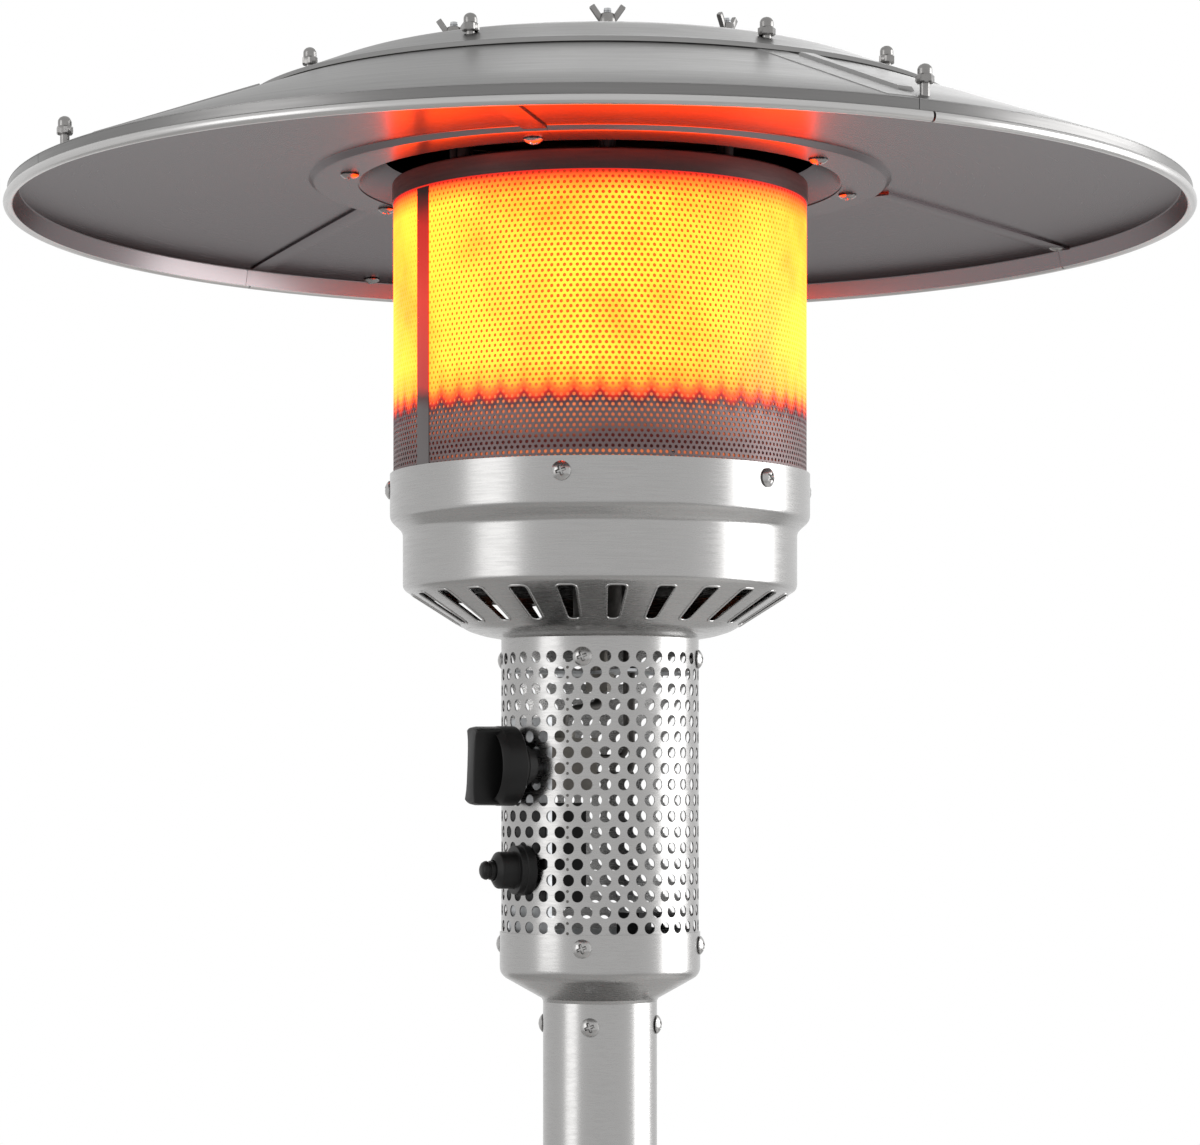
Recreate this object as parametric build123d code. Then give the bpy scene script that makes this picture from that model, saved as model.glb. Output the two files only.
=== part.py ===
from build123d import *
import os
from math import acos, asin, atan2, cos, degrees, hypot, pi, radians, sin, sqrt, tan

# Free-standing gas patio heater. Millimetres, +Z up, origin on the floor at the post's axis.
# The front, where the control side is seen from, is -Y. Angles are measured in plan from +X.

# Sheet metal
thin_sheet = 0.8
head_sheet = 1.2
seat_gap = 0.3
slip_gap = 0.1
running_gap = 0.05

# Base
base_radius = 235.0
base_sheet = 2.0
shoulder_inset = 36.0
shoulder_height = 20.0
platform_inset = 8.0
platform_height = 44.0
anchor_inset = 16.0
anchor_hole_radius = 4.5
anchor_angles = (30.0, 150.0, 270.0)
ballast_inset = 10.0
ballast_height = 34.0

# Wheels at the back of the base
wheel_radius = 44.0
wheel_width = 24.0
wheel_hub_radius = 13.0
wheel_web = 8.0
wheel_rim_depth = 9.0
wheel_offset = 62.0
wheel_holes = 5
axle_radius = 5.0
axle_setback = 5.0
axle_height = 48.5
axle_cap_radius = 9.0
axle_cap_length = 5.0
bracket_width = 92.0
bracket_sheet = 3.0
bracket_ear_depth = 34.0

# Post legs
leg_inset = 13.0
leg_width = 30.0
leg_sheet = 4.0
leg_foot = 42.0
leg_bend_radius = 24.0
leg_knee_drop = 21.0
leg_grip_length = 95.0
leg_angles = (90.0, 210.0, 330.0)

# Tank housing and its cover
housing_inset = 5.0
housing_top = 566.0
housing_bead = 3.0
housing_slots = 16
housing_slot_width = 9.0
housing_slot_length = 42.0
housing_slot_rise = 40.0
housing_lift = 480.0
cover_lap = 16.0
cover_rise = 102.0
cover_neck_length = 14.0
neck_collar_wall = 6.0
neck_collar_height = 24.0
cover_screw_angles = (0.0, 90.0, 180.0, 270.0)

# Post
post_radius = 39.4
post_wall = 1.5
post_foot_drop = 14.0
post_top = 1563.1
spigot_length = 46.0
post_screw_drop = 15.9

# Head cup
cup_radius = 69.5
cup_height = 48.0
cup_cone_top_drop = 22.0
cup_fillet = 9.0
cup_screw_drop = 8.35

# Perforated control shield
shield_radius = 68.2
shield_lap = 16.4
shield_rise = 201.5
shield_rows = 9
shield_columns = 16
shield_hole_radius = 7.2
shield_row_step = 21.53
shield_first_row = 10.0
shield_screw_drop = 14.0
fastener_angles = (260.0, 350.0, 80.0, 170.0)

# Burner bowl
bowl_neck_drop = 22.0
bowl_cone_foot_radius = 90.0
bowl_cone_foot_rise = 5.0
bowl_lower_radius = 136.5
bowl_cone_top_rise = 34.4
bowl_step_rise = 64.0
bowl_step_height = 8.3
bowl_upper_radius = 145.2
bowl_top_rise = 103.3
bowl_edge_fillet = 4.0
bowl_screw_drop = 9.6
bowl_screw_angles = (260.0, 320.0, 8.0, 68.0, 128.0, 180.0)
slot_count = 24
slot_first_angle = 5.0
slot_inner_radius = 97.0
slot_outer_radius = 130.0
slot_inner_width = 9.0
slot_outer_width = 14.0

# Emitter
emitter_radius = 143.2
emitter_cap_skirt = 14.0
emitter_cap_edge = 0.6
emitter_cap_bore = 60.0
emitter_rise = 210.2
seam_strip_angle = 212.0
seam_strip_width = 22.0
inner_emitter_radius = 131.0
inner_emitter_wall = 1.0
inner_emitter_clear = 4.0
inner_emitter_flange = 12.0
drum_radius = 112.0
drum_height = 26.0
burner_plate_rise = 16.0
burner_plate_sheet = 2.0
burner_ports = 17
burner_port_radius = 4.5
burner_port_start = 318.0
burner_port_arc = 294.0

pilot_angle = 277.0
pilot_radius = 4.5
pilot_height = 18.0
thermocouple_angle = 285.0
thermocouple_length = 26.0
thermocouple_radius = 2.0
electrode_angle = 293.0
electrode_length = 30.0
electrode_radius = 1.6

# Gas train on the axis
mixer_radius = 17.0
mixer_wall = 1.5
mixer_drop = 92.0
mixer_mouth_radius = 26.0
mixer_flare_height = 22.0
injector_flats = 17.0
injector_hex_height = 12.0
injector_nose_radius = 5.5
injector_nose = 14.0
cross_sheet = 2.0
cross_width = 16.0
cross_turn = 20.0
tube_radius = 4.0
tube_bend = 7.0
lead_tube_radius = 2.2
lead_tube_run = 31.0
lead_tube_bend = 8.0

# Controls: the control axis lies level, at this plan angle, and crosses the shield at this one
control_axis_angle = 204.0
control_cross_angle = 220.0
knob_rise = 113.9
igniter_rise = 43.4
control_plate_depth = 11.0
control_plate_sheet = 2.0
valve_width = 40.0
valve_height = 38.0
valve_depth = 34.0
valve_boss_radius = 9.0
valve_boss_length = 8.0
rotor_radius = 8.0
rotor_length = 22.0
bonnet_radius = 12.0
bonnet_length = 4.0
bezel_radius = 13.6
bezel_proud = 3.8
bezel_clearance = 0.4
stem_radius = 3.0
stem_end_gap = 5.0
stem_in_knob = 16.0
knob_push = 3.0
knob_turn = 210.0
knob_radius = 27.0
knob_standoff = 7.0
knob_depth = 31.4
knob_rim_depth = 17.4
knob_skirt = 12.6
knob_rim_slope = 3.0
knob_wall = 1.0
knob_floor = 6.5
knob_floor_slope = 2.0
knob_bar_width = 12.0
knob_bar_flare = 3.5
knob_bar_round = 3.0
knob_back_recess = 3.0
igniter_barrel_radius = 9.0
igniter_flange_radius = 17.5
igniter_flange_length = 7.0
igniter_collar_radius = 13.0
igniter_collar_length = 15.0
igniter_button_radius = 6.5
igniter_button_proud = 9.0
igniter_push = 5.0
igniter_box_width = 48.0
igniter_box_shift = -4.0
igniter_box_height = 71.0
igniter_box_depth = 26.0
igniter_box_rise = 10.0
inlet_flats = 14.0
inlet_length = 10.0
inlet_tail_radius = 5.0
tilt_box_width = 18.0
tilt_box_height = 26.0
tilt_switch_radius = 48.0
tilt_switch_angle = 60.0

# Reflector
rim_radius = 406.4
rim_bead_radius = 3.9
rim_bead_drop = 21.7
rim_gap = 1.6
rim_gap_angles = (29.8, 133.0, 298.8)
lip_rise = 9.2
lining_ring_outer = 201.0
lining_ring_inner = 167.0
lining_ring_rise = 15.8
lining_bevel = 5.0
lining_bevel_drop = 4.4
lining_hole_radius = 146.0
lining_ring_lap = 22.0
ring_screw_radius = 176.0
ring_screw_angles = (10.1, 80.0, 150.3, 195.8, 256.0, 325.0)
lining_seams = ((14.8, 30.0), (150.5, 133.5), (259.5, 261.0))
lining_strip_width = 24.0
strip_end_gap = 12.0
strip_end_shift = 4.0
hood_slope = 20.4
hood_edge_rise = 2.0
hood_edge_turn = 4.0
hood_inner_radius = 205.0
hood_seam_angles = (28.0, 118.0, 208.0, 298.0)
hood_lap_width = 22.0
rib_inner_radius = 255.0
rib_inset = 26.4
rib_width = 12.0
rib_height = 2.5
rib_offset = 24.0
crown_edge_radius = 249.0
crown_step_radius = 241.0
crown_step_height = 1.6
crown_seat_width = 5.0
crown_brow_radius = 212.0
crown_brow_rise = 4.3
crown_flat_radius = 152.0
crown_flat_rise = 12.7
outer_screw_inset = 20.4
crown_nut_radius = 218.0
crown_nut_angles = (20.0, 118.0, 163.0, 208.6, 248.0, 299.0)
stud_circle_radius = 134.0
stud_angles = (90.0, 228.0, 272.0, 308.0)
stud_radius = 3.0
spacer_radius = 5.5
stud_proud = 13.0

# Fasteners
screw_radius = 3.0
screw_head_radius = 6.4
screw_head_height = 3.8
nut_flats = 10.0
nut_height = 5.0
cap_nut_height = 12.5
cap_nut_standoff = 6.0
wing_span = 28.0
wing_rise = 16.0
wing_sheet = 2.4
wing_boss_radius = 5.6
wing_boss_height = 8.0
hex_points = 6

# Worked-out places
anchor_circle_radius = base_radius - anchor_inset
shoulder_radius = base_radius - shoulder_inset
housing_radius = shoulder_radius - housing_inset
platform_radius = housing_radius - platform_inset
ballast_radius = platform_radius - ballast_inset
leg_circle_radius = platform_radius - leg_inset
axle_y = base_radius + axle_setback
leg_knee_height = housing_top - leg_knee_drop
cover_neck_height = housing_top + cover_rise
post_bottom = housing_top - post_foot_drop
post_bore = post_radius - post_wall
cup_seam = post_top + cup_height
knob_height = cup_seam + knob_rise
igniter_height = cup_seam + igniter_rise
bowl_foot_height = cup_seam + shield_rise
cup_neck_top = post_top
shield_bottom = cup_seam - shield_lap
shield_top = bowl_foot_height
bowl_cone_foot = bowl_foot_height + bowl_cone_foot_rise
bowl_cone_top = bowl_foot_height + bowl_cone_top_rise
bowl_step_bottom = bowl_foot_height + bowl_step_rise
bowl_step_top = bowl_step_bottom + bowl_step_height
bowl_top = bowl_foot_height + bowl_top_rise
bowl_bore = bowl_upper_radius - head_sheet
probe_circle = (drum_radius + inner_emitter_radius) / 2
burner_plate_height = bowl_top - burner_plate_rise
emitter_bottom = burner_plate_height + burner_plate_sheet
emitter_top = bowl_top + emitter_rise
rim_bead_height = emitter_top - rim_bead_drop
lip_height = rim_bead_height + lip_rise
lining_ring_height = lip_height + lining_ring_rise
lip_radius = rim_radius - rim_bead_radius
outer_screw_radius = rim_radius - outer_screw_inset
rib_outer_radius = rim_radius - rib_inset
hood_edge_radius = lip_radius + slip_gap
hood_edge_height = lip_height + hood_edge_rise
hood_rise = tan(radians(hood_slope))
hood_step = thin_sheet / cos(radians(hood_slope))
crown_brow_height = hood_edge_height + (hood_edge_radius - crown_brow_radius) * hood_rise + crown_brow_rise
crown_flat_height = crown_brow_height + crown_flat_rise
control_axis = Vector(cos(radians(control_axis_angle)), sin(radians(control_axis_angle)), 0)
control_side = Vector(-control_axis.Y, control_axis.X, 0)
control_point = Vector(
    shield_radius * cos(radians(control_cross_angle)), shield_radius * sin(radians(control_cross_angle)), 0
)
big = 4 * rim_radius


def polar(radius, angle, height=0.0):
    """A point from its radius and plan angle."""
    return Vector(radius * cos(radians(angle)), radius * sin(radians(angle)), height)


def revolved(*points):
    """A solid of revolution about Z from (radius, height) points."""
    outline = Polyline(*[(r, 0, z) for r, z in points], close=True)
    return revolve(make_face(outline), Axis.Z)


def ring(outer, inner, bottom, top):
    """A plain tube or washer about Z."""
    if inner <= 0:
        return revolved((0, bottom), (outer, bottom), (outer, top), (0, top))
    return revolved((inner, bottom), (outer, bottom), (outer, top), (inner, top))


def offset_2d_line(points, distance):
    """The line shifted to its right by the distance, with mitred corners."""
    shifted = []
    for i, point in enumerate(points):
        normals = []
        if i > 0:
            normals.append(right_normal(points[i - 1], point))
        if i < len(points) - 1:
            normals.append(right_normal(point, points[i + 1]))
        if len(normals) == 1:
            nx, nz = normals[0]
            scale = distance
        else:
            nx, nz = normals[0][0] + normals[1][0], normals[0][1] + normals[1][1]
            scale = 2 * distance / (nx * nx + nz * nz)
        shifted.append((point[0] + nx * scale, point[1] + nz * scale))
    return shifted


def right_normal(a, b):
    """The unit normal to the right of the run from a to b."""
    dx, dz = b[0] - a[0], b[1] - a[1]
    length = hypot(dx, dz)
    return dz / length, -dx / length


def wedge(start, end, bottom, top, reach=big):
    """A solid sector about Z between two plan angles under a half turn apart."""
    middle = (start + end) / 2
    span = Polyline(
        (0, 0),
        tuple(polar(reach, start))[:2],
        tuple(polar(reach, middle))[:2],
        tuple(polar(reach, end))[:2],
        close=True,
    )
    return Pos(0, 0, bottom) * extrude(make_face(span), top - bottom)


def radial_strip(angle, inner, outer, width, bottom, top, shift=0.0):
    """An upright block that runs outward at a plan angle, shifted sideways if asked."""
    block = Pos((inner + outer) / 2, shift, (bottom + top) / 2) * Box(outer - inner, width, top - bottom)
    return Rot(0, 0, angle) * block


def placed_along(shape, point, direction):
    """The shape's +Z turned to the direction, at the point."""
    return Plane(origin=point, z_dir=direction).location * shape


def pan_screw(length, shank=screw_radius, head=screw_head_radius, height=screw_head_height):
    """A domed screw: the head above z = 0 and the shank below it."""
    shoulder = height * 0.35
    rise = height - shoulder
    ball = (head * head + rise * rise) / (2 * rise)
    half = asin(head / ball) / 2
    bend = (ball * sin(half), 0, height - ball + ball * cos(half))
    dome = ThreePointArc((head, 0, shoulder), bend, (0, 0, height))
    outline = [
        Line((0, 0, -length), (shank, 0, -length)),
        Line((shank, 0, -length), (shank, 0, 0)),
        Line((shank, 0, 0), (head, 0, 0)),
        Line((head, 0, 0), (head, 0, shoulder)),
        dome,
        Line((0, 0, height), (0, 0, -length)),
    ]
    return revolve(make_face(outline), Axis.Z)


def hex_nut(flats, height, bore=0.0):
    """A hexagon nut that stands on z = 0."""
    nut = extrude(RegularPolygon(flats / 2, hex_points, major_radius=False), height)
    return nut - Pos(0, 0, height / 2) * Cylinder(bore, 2 * height) if bore else nut


def cap_nut():
    """A domed nut that stands on z = 0."""
    dome_radius = nut_flats / 2
    straight = cap_nut_height - dome_radius
    half = dome_radius * sin(radians(45))
    bend = (half, 0, straight + half)
    dome = revolve(
        make_face([
            Line((0, 0, 0), (dome_radius, 0, 0)),
            Line((dome_radius, 0, 0), (dome_radius, 0, straight)),
            ThreePointArc((dome_radius, 0, straight), bend, (0, 0, cap_nut_height)),
            Line((0, 0, cap_nut_height), (0, 0, 0)),
        ]),
        Axis.Z,
    )
    return dome + hex_nut(nut_flats, nut_height)


def wing_nut():
    """A wing nut that stands on z = 0, its wings along X."""
    boss = extrude(Circle(wing_boss_radius), wing_boss_height, taper=8)
    outline = Polyline(
        (wing_boss_radius * 0.55, 1.0),
        (wing_boss_radius, 1.0),
        (wing_span / 2, wing_rise * 0.78),
        (wing_span / 2 - 3.2, wing_rise),
        (wing_boss_radius * 0.55, wing_boss_height * 0.8),
        close=True,
    )
    wing = Rot(90, 0, 0) * extrude(make_face(outline), wing_sheet / 2, both=True)
    bore = Pos(0, 0, wing_boss_height / 2) * Cylinder(stud_radius, 3 * wing_boss_height)
    return boss + wing + Rot(0, 0, 180) * wing - bore


def as_node(solids):
    """A group of separate solids kept in one node."""
    return Compound(children=[s for item in solids for s in item.solids()])


def base_plate():
    """The pressed base: a flange on the floor, a shoulder for the housing and a raised platform."""
    outline = [
        (base_radius, base_sheet),
        (shoulder_radius, base_sheet),
        (shoulder_radius, shoulder_height),
        (platform_radius, shoulder_height),
        (platform_radius, platform_height),
        (0, platform_height),
    ]
    inside = offset_2d_line(list(reversed(outline)), base_sheet)
    plate = revolved(*outline, *inside)
    holes = [
        Pos(*polar(anchor_circle_radius, a)) * Cylinder(anchor_hole_radius, 4 * base_sheet)
        for a in anchor_angles
    ]
    return plate - holes - holes_at(foot_sites() + bracket_sites(), screw_radius)


def ballast():
    """The weight under the platform."""
    top = platform_height - base_sheet
    disc = ring(ballast_radius, 0, top - ballast_height, top)
    return disc - holes_at(foot_sites(), screw_radius + seat_gap, big)


def leg_centre_line():
    """A post leg's path in its own plane: the foot, the upright, the arm and the grip on the post."""
    foot = platform_height + leg_sheet / 2
    grip = post_radius + leg_sheet / 2
    return [
        (leg_circle_radius - leg_foot, foot),
        (leg_circle_radius, foot),
        (leg_circle_radius, leg_knee_height),
        (grip, leg_knee_height + leg_sheet),
        (grip, leg_knee_height + leg_grip_length),
    ]


def leg_at(angle):
    """One bent strip leg."""
    radii = [leg_sheet * 1.5, leg_bend_radius, leg_bend_radius / 2]
    path = FilletPolyline(*[(r, 0, z) for r, z in leg_centre_line()], radius=radii)
    start = leg_centre_line()[0]
    section = Plane(origin=(start[0], 0, start[1]), z_dir=(1, 0, 0)) * Rectangle(leg_sheet, leg_width)
    strip = sweep(section, path=path)
    return Rot(0, 0, angle) * strip - holes_at(foot_sites() + grip_sites(), screw_radius)


def base_bolts():
    """The bolts of the legs' feet, their grips on the post and the wheel bracket."""
    feet = screws_at(foot_sites(), leg_sheet + base_sheet + 6)
    grips = screws_at(grip_sites(), leg_sheet + post_wall + 6)
    brackets = screws_at(bracket_sites(), bracket_sheet + base_sheet / 2)
    return feet + grips + brackets


def tank_housing():
    """The upright can round the gas cylinder, with a bead at each end and vents near the foot."""
    bottom = shoulder_height + seat_gap
    inner = housing_radius - thin_sheet
    outline = [
        (housing_radius, bottom),
        (housing_radius, bottom + 30),
        (housing_radius + housing_bead, bottom + 30 + housing_bead),
        (housing_radius, bottom + 30 + 2 * housing_bead),
        (housing_radius, housing_top - cover_lap - 3 * housing_bead),
        (housing_radius + housing_bead, housing_top - cover_lap - 2 * housing_bead),
        (housing_radius, housing_top - cover_lap - housing_bead),
        (housing_radius, housing_top),
    ]
    inside = [(r - thin_sheet, z) for r, z in reversed(outline)]
    can = revolved(*outline, *inside)
    height = bottom + 2 * housing_slot_rise
    vent = SlotOverall(housing_slot_length, housing_slot_width)
    vents = []
    for i in range(housing_slots):
        angle = (i + 0.5) * 360 / housing_slots
        plane = Plane(origin=polar(inner - 4, angle, height), x_dir=(0, 0, 1), z_dir=polar(1, angle))
        vents.append(extrude(plane * vent, 12))
    return can - vents - holes_at(cover_sites(), screw_radius)


def housing_cover():
    """The sloping lid of the housing, with a skirt over the can and a neck round the post."""
    collar_outer = post_radius + seat_gap + neck_collar_wall
    skirt = housing_radius + thin_sheet
    outline = [
        (skirt, housing_top - cover_lap),
        (skirt, housing_top + thin_sheet + 2),
        (skirt - 22, housing_top + 16),
        (collar_outer + thin_sheet, cover_neck_height),
        (collar_outer + thin_sheet, cover_neck_height + cover_neck_length),
    ]
    inside = offset_2d_line(outline, -thin_sheet)
    return revolved(*outline, *reversed(inside)) - holes_at(cover_sites(), screw_radius)


def neck_collar():
    """The plastic ring that guides the cover along the post."""
    inner = post_radius + seat_gap
    outer = inner + neck_collar_wall
    top = cover_neck_height + cover_neck_length
    return revolved(
        (inner, top - neck_collar_height),
        (outer, top - neck_collar_height),
        (outer, top),
        (outer + 3, top),
        (outer + 3, top + 3),
        (inner, top + 3),
    )


def cover_screws():
    """The screws that hold the cover's skirt to the can."""
    return screws_at(cover_sites(), 2 * thin_sheet + 5)


def wheel_bracket():
    """The folded bracket on the base's flange that carries the axle."""
    floor = base_sheet
    inner_y = shoulder_radius + 3
    outer_y = base_radius - 2
    plate = Pos(0, (inner_y + outer_y) / 2, floor + bracket_sheet / 2) * Box(
        bracket_width, outer_y - inner_y, bracket_sheet
    )
    ear_outline = Polyline(
        (inner_y, floor),
        (outer_y, floor),
        (axle_y + bracket_ear_depth / 2, axle_height - 4),
        (axle_y + bracket_ear_depth / 2, axle_height + 10),
        (axle_y - 6, axle_height + 14),
        (inner_y, axle_height - 6),
        close=True,
    )
    ear = extrude(Plane.YZ * make_face(ear_outline), bracket_sheet)
    shape = plate
    for side in (-bracket_width / 2, bracket_width / 2 - bracket_sheet):
        shape += Pos(side, 0, 0) * ear
    shape = shape - Pos(0, axle_y, axle_height) * Rot(0, 90, 0) * Cylinder(axle_radius, big)
    return shape - holes_at(bracket_sites(), screw_radius)


def axle():
    """The axle through both ears and both wheels."""
    reach = wheel_offset + wheel_width / 2 + axle_cap_length
    return Pos(0, axle_y, axle_height) * Rot(0, 90, 0) * Cylinder(axle_radius, 2 * reach)


def axle_caps():
    """The push-on caps outside the wheels."""
    start = wheel_offset + wheel_width / 2 + seat_gap
    cap = ring(axle_cap_radius, axle_radius, 0, axle_cap_length - seat_gap)
    caps = []
    for side in (-1, 1):
        caps.append(placed_along(cap, Vector(side * start, axle_y, axle_height), (side, 0, 0)))
    return caps


def wheel(side):
    """A moulded wheel: hub, holed web and a rounded tread."""
    half = wheel_width / 2
    rim_inner = wheel_radius - wheel_rim_depth
    bore = axle_radius + running_gap
    round_off = 4.0
    body = revolved(
        (bore, -half),
        (wheel_hub_radius, -half),
        (wheel_hub_radius + 1.5, -wheel_web / 2),
        (rim_inner, -wheel_web / 2),
        (rim_inner + 1, -half),
        (wheel_radius - round_off, -half),
        (wheel_radius, -half + round_off),
        (wheel_radius, half - round_off),
        (wheel_radius - round_off, half),
        (rim_inner + 1, half),
        (rim_inner, wheel_web / 2),
        (wheel_hub_radius + 1.5, wheel_web / 2),
        (wheel_hub_radius, half),
        (bore, half),
    )
    middle = (wheel_hub_radius + rim_inner) / 2
    holes = [
        Pos(*polar(middle, i * 360 / wheel_holes)) * Cylinder(6.5, wheel_width) for i in range(wheel_holes)
    ]
    return Pos(side * wheel_offset, axle_y, axle_height) * Rot(0, 90, 0) * (body - holes)


def post():
    """The upright tube."""
    tube = ring(post_radius, post_bore, post_bottom, post_top)
    return tube - holes_at(post_sites(), screw_radius) - holes_at(grip_sites(), screw_radius)


def head_cup():
    """The cup that carries the head: a band, a cone down to the post and a spigot inside it."""
    spigot = post_bore - slip_gap
    outer = [
        (cup_radius, cup_seam),
        (cup_radius, cup_seam - cup_cone_top_drop),
        (post_radius + 1.0, cup_neck_top + 1.2),
        (post_radius, cup_neck_top),
        (spigot, cup_neck_top),
        (spigot, cup_neck_top - spigot_length),
    ]
    inner = [
        (spigot - head_sheet, cup_neck_top - spigot_length),
        (spigot - head_sheet, cup_neck_top + 1.8),
        (cup_radius - head_sheet, cup_seam - cup_cone_top_drop + 0.6),
        (cup_radius - head_sheet, cup_seam),
    ]
    cup = revolved(*outer, *inner)
    drop = cup_seam - cup_cone_top_drop
    for radius, bend in ((cup_radius, cup_fillet), (cup_radius - head_sheet, cup_fillet - head_sheet)):
        corner = [
            edge for edge in cup.edges().filter_by(GeomType.CIRCLE)
            if abs(edge.radius - radius) < 0.01 and abs(edge.center().Z - drop) < head_sheet
        ]
        cup = fillet(corner, bend)
    return cup - holes_at(post_sites() + cup_sites(), screw_radius)


def sites_round(radius, height, angles):
    """Places and outward directions in a ring."""
    return [(polar(radius, a, height), polar(1, a)) for a in angles]


def sites_up(radius, height, angles, up=1):
    """Places in a ring whose direction is up or down."""
    return [(polar(radius, a, height), Vector(0, 0, up)) for a in angles]


def screws_at(sites, grip):
    """Pan screws with their heads outward at the sites."""
    return [placed_along(pan_screw(grip), point, direction) for point, direction in sites]


def holes_at(sites, radius, depth=12.0):
    """Cylinders that cut a screw's hole through what lies round each site."""
    return [placed_along(Cylinder(radius, 2 * depth), point, direction) for point, direction in sites]


def post_sites():
    """The screws of the post and the cup's spigot."""
    return sites_round(post_radius, post_top - post_screw_drop, fastener_angles)


def cup_sites():
    """The screws of the cup, the shield and the valve bracket."""
    return sites_round(cup_radius, cup_seam - cup_screw_drop, fastener_angles)


def shield_sites():
    """The screws of the shield and the bowl's neck."""
    return sites_round(shield_radius, bowl_foot_height - shield_screw_drop, fastener_angles)


def bowl_sites():
    """The screws of the bowl, the emitter screen and the burner plate."""
    return sites_round(bowl_upper_radius, bowl_top - bowl_screw_drop, bowl_screw_angles)


def cover_sites():
    """The screws of the housing's cover."""
    return sites_round(housing_radius + thin_sheet, housing_top - cover_lap / 2, cover_screw_angles)


def foot_sites():
    """The bolts of the legs' feet."""
    radius = leg_circle_radius - leg_foot + screw_head_radius * 1.6
    return sites_up(radius, platform_height + leg_sheet, leg_angles)


def grip_sites():
    """The bolts of the legs' grips on the post."""
    sites = []
    for share in (0.45, 0.8):
        sites += sites_round(post_radius + leg_sheet, leg_knee_height + leg_grip_length * share, leg_angles)
    return sites


def bracket_sites():
    """The bolts of the wheel bracket."""
    y = (shoulder_radius + base_radius) / 2
    return [(Vector(x, y, base_sheet + bracket_sheet), Vector(0, 0, 1)) for x in (-26, 26)]


def head_screws():
    """The screws of the post, the cup, the shield and the bowl."""
    grip = 3 * head_sheet + 4
    return screws_at(post_sites() + cup_sites() + shield_sites() + bowl_sites(), grip)


def perforated_shield():
    """The perforated tube round the controls, with clearance holes for the knob and igniter."""
    tube = ring(shield_radius, shield_radius - thin_sheet, shield_bottom, shield_top)
    cutter = extrude(
        Plane(origin=(shield_radius - 6, 0, 0), z_dir=(1, 0, 0))
        * RegularPolygon(shield_hole_radius, hex_points),
        12,
    )
    holes = []
    for row in range(shield_rows):
        height = cup_seam + shield_first_row + row * shield_row_step
        for column in range(shield_columns):
            angle = (column + (row % 2) / 2) * 360 / shield_columns
            holes.append(Pos(0, 0, height) * Rot(0, 0, angle) * cutter)
    ways = ((knob_height, bezel_radius + bezel_clearance), (igniter_height, igniter_barrel_radius + slip_gap))
    for height, radius in ways:
        holes.append(along_control(Cylinder(radius, 60), height, 0))
    return tube - holes - holes_at(cup_sites() + shield_sites(), screw_radius)


def along_control(shape, height, depth):
    """The shape's +Z laid along the control axis, its origin this far outside the crossing point."""
    origin = control_point + control_axis * depth + Vector(0, 0, height)
    return Plane(origin=origin, x_dir=control_side, z_dir=control_axis).location * shape


def valve_bracket():
    """The bracket inside the shield: a flanged floor and an upright plate for the controls."""
    outer = shield_radius - thin_sheet
    bottom = shield_bottom
    floor = ring(outer, spigot_bore(), bottom, bottom + control_plate_sheet)
    flange = ring(outer, outer - control_plate_sheet, bottom, cup_seam - 1)
    top = knob_height + valve_height / 2 + 14
    height = top - bottom
    plate = along_control(
        Box(2 * valve_width + 20, height, control_plate_sheet), bottom + height / 2, -control_plate_depth
    )
    plate = plate & ring(outer - slip_gap, 0, bottom, top)
    shape = floor + flange + plate
    bores = ((knob_height, bonnet_radius + slip_gap), (igniter_height, igniter_barrel_radius + slip_gap))
    holes = [along_control(Cylinder(radius, 30), height, -control_plate_depth) for height, radius in bores]
    return shape - holes - holes_at(cup_sites(), screw_radius, 8)


def spigot_bore():
    """The hole in the bracket's floor, the same as the spigot's bore."""
    return post_bore - slip_gap - head_sheet


def plate_back():
    """How far inside the crossing point the control plate's back lies."""
    return -(control_plate_depth + control_plate_sheet / 2)


def gas_valve():
    """The valve's cast body, with the rotor's bore, an outlet boss on top and an inlet boss beside."""
    back = plate_back()
    body = along_control(Box(valve_width, valve_height, valve_depth), knob_height, back - valve_depth / 2)
    bore = along_control(Cylinder(rotor_radius + running_gap, 2 * (rotor_length + seat_gap)), knob_height, back)
    boss = ring(valve_boss_radius, 0, 0, valve_boss_length)
    outlet = Pos(*valve_outlet() - Vector(0, 0, valve_boss_length)) * boss
    inlet = placed_along(boss, valve_inlet() + control_side * valve_boss_length, -control_side)
    return body - bore + outlet + inlet


def valve_middle():
    """The middle of the valve's body."""
    place = control_point + control_axis * (plate_back() - valve_depth / 2)
    return place + Vector(0, 0, knob_height)


def valve_outlet():
    """The end of the outlet boss."""
    return valve_middle() + Vector(0, 0, valve_height / 2 + valve_boss_length)


def valve_inlet():
    """The end of the inlet boss."""
    return valve_middle() - control_side * (valve_width / 2 + valve_boss_length)


def valve_bonnet():
    """The ring that keeps the rotor in, guides the stem and shows as a bezel behind the knob."""
    inner = stem_radius + slip_gap
    start = plate_back()
    neck = control_plate_sheet + bonnet_length
    cap = ring(bonnet_radius, inner, 0, neck) + ring(bezel_radius, inner, neck, bezel_proud - start)
    return along_control(cap, knob_height, start)


def valve_rotor():
    """The turning plug inside the valve, with the stem's socket."""
    plug = ring(rotor_radius, stem_radius + running_gap, 0, rotor_length)
    gas_way = Pos(0, 0, rotor_length * 0.3) * Rot(90, 0, 0) * Cylinder(2.2, 3 * rotor_radius)
    return along_control(plug - gas_way, knob_height, plate_back() - rotor_length - seat_gap / 2)


def valve_stem():
    """The stem from the rotor to the knob."""
    start = plate_back() - rotor_length + stem_end_gap
    end = knob_standoff + knob_back_recess + stem_in_knob
    return along_control(ring(stem_radius, 0, 0, end - start), knob_height, start)


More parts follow.
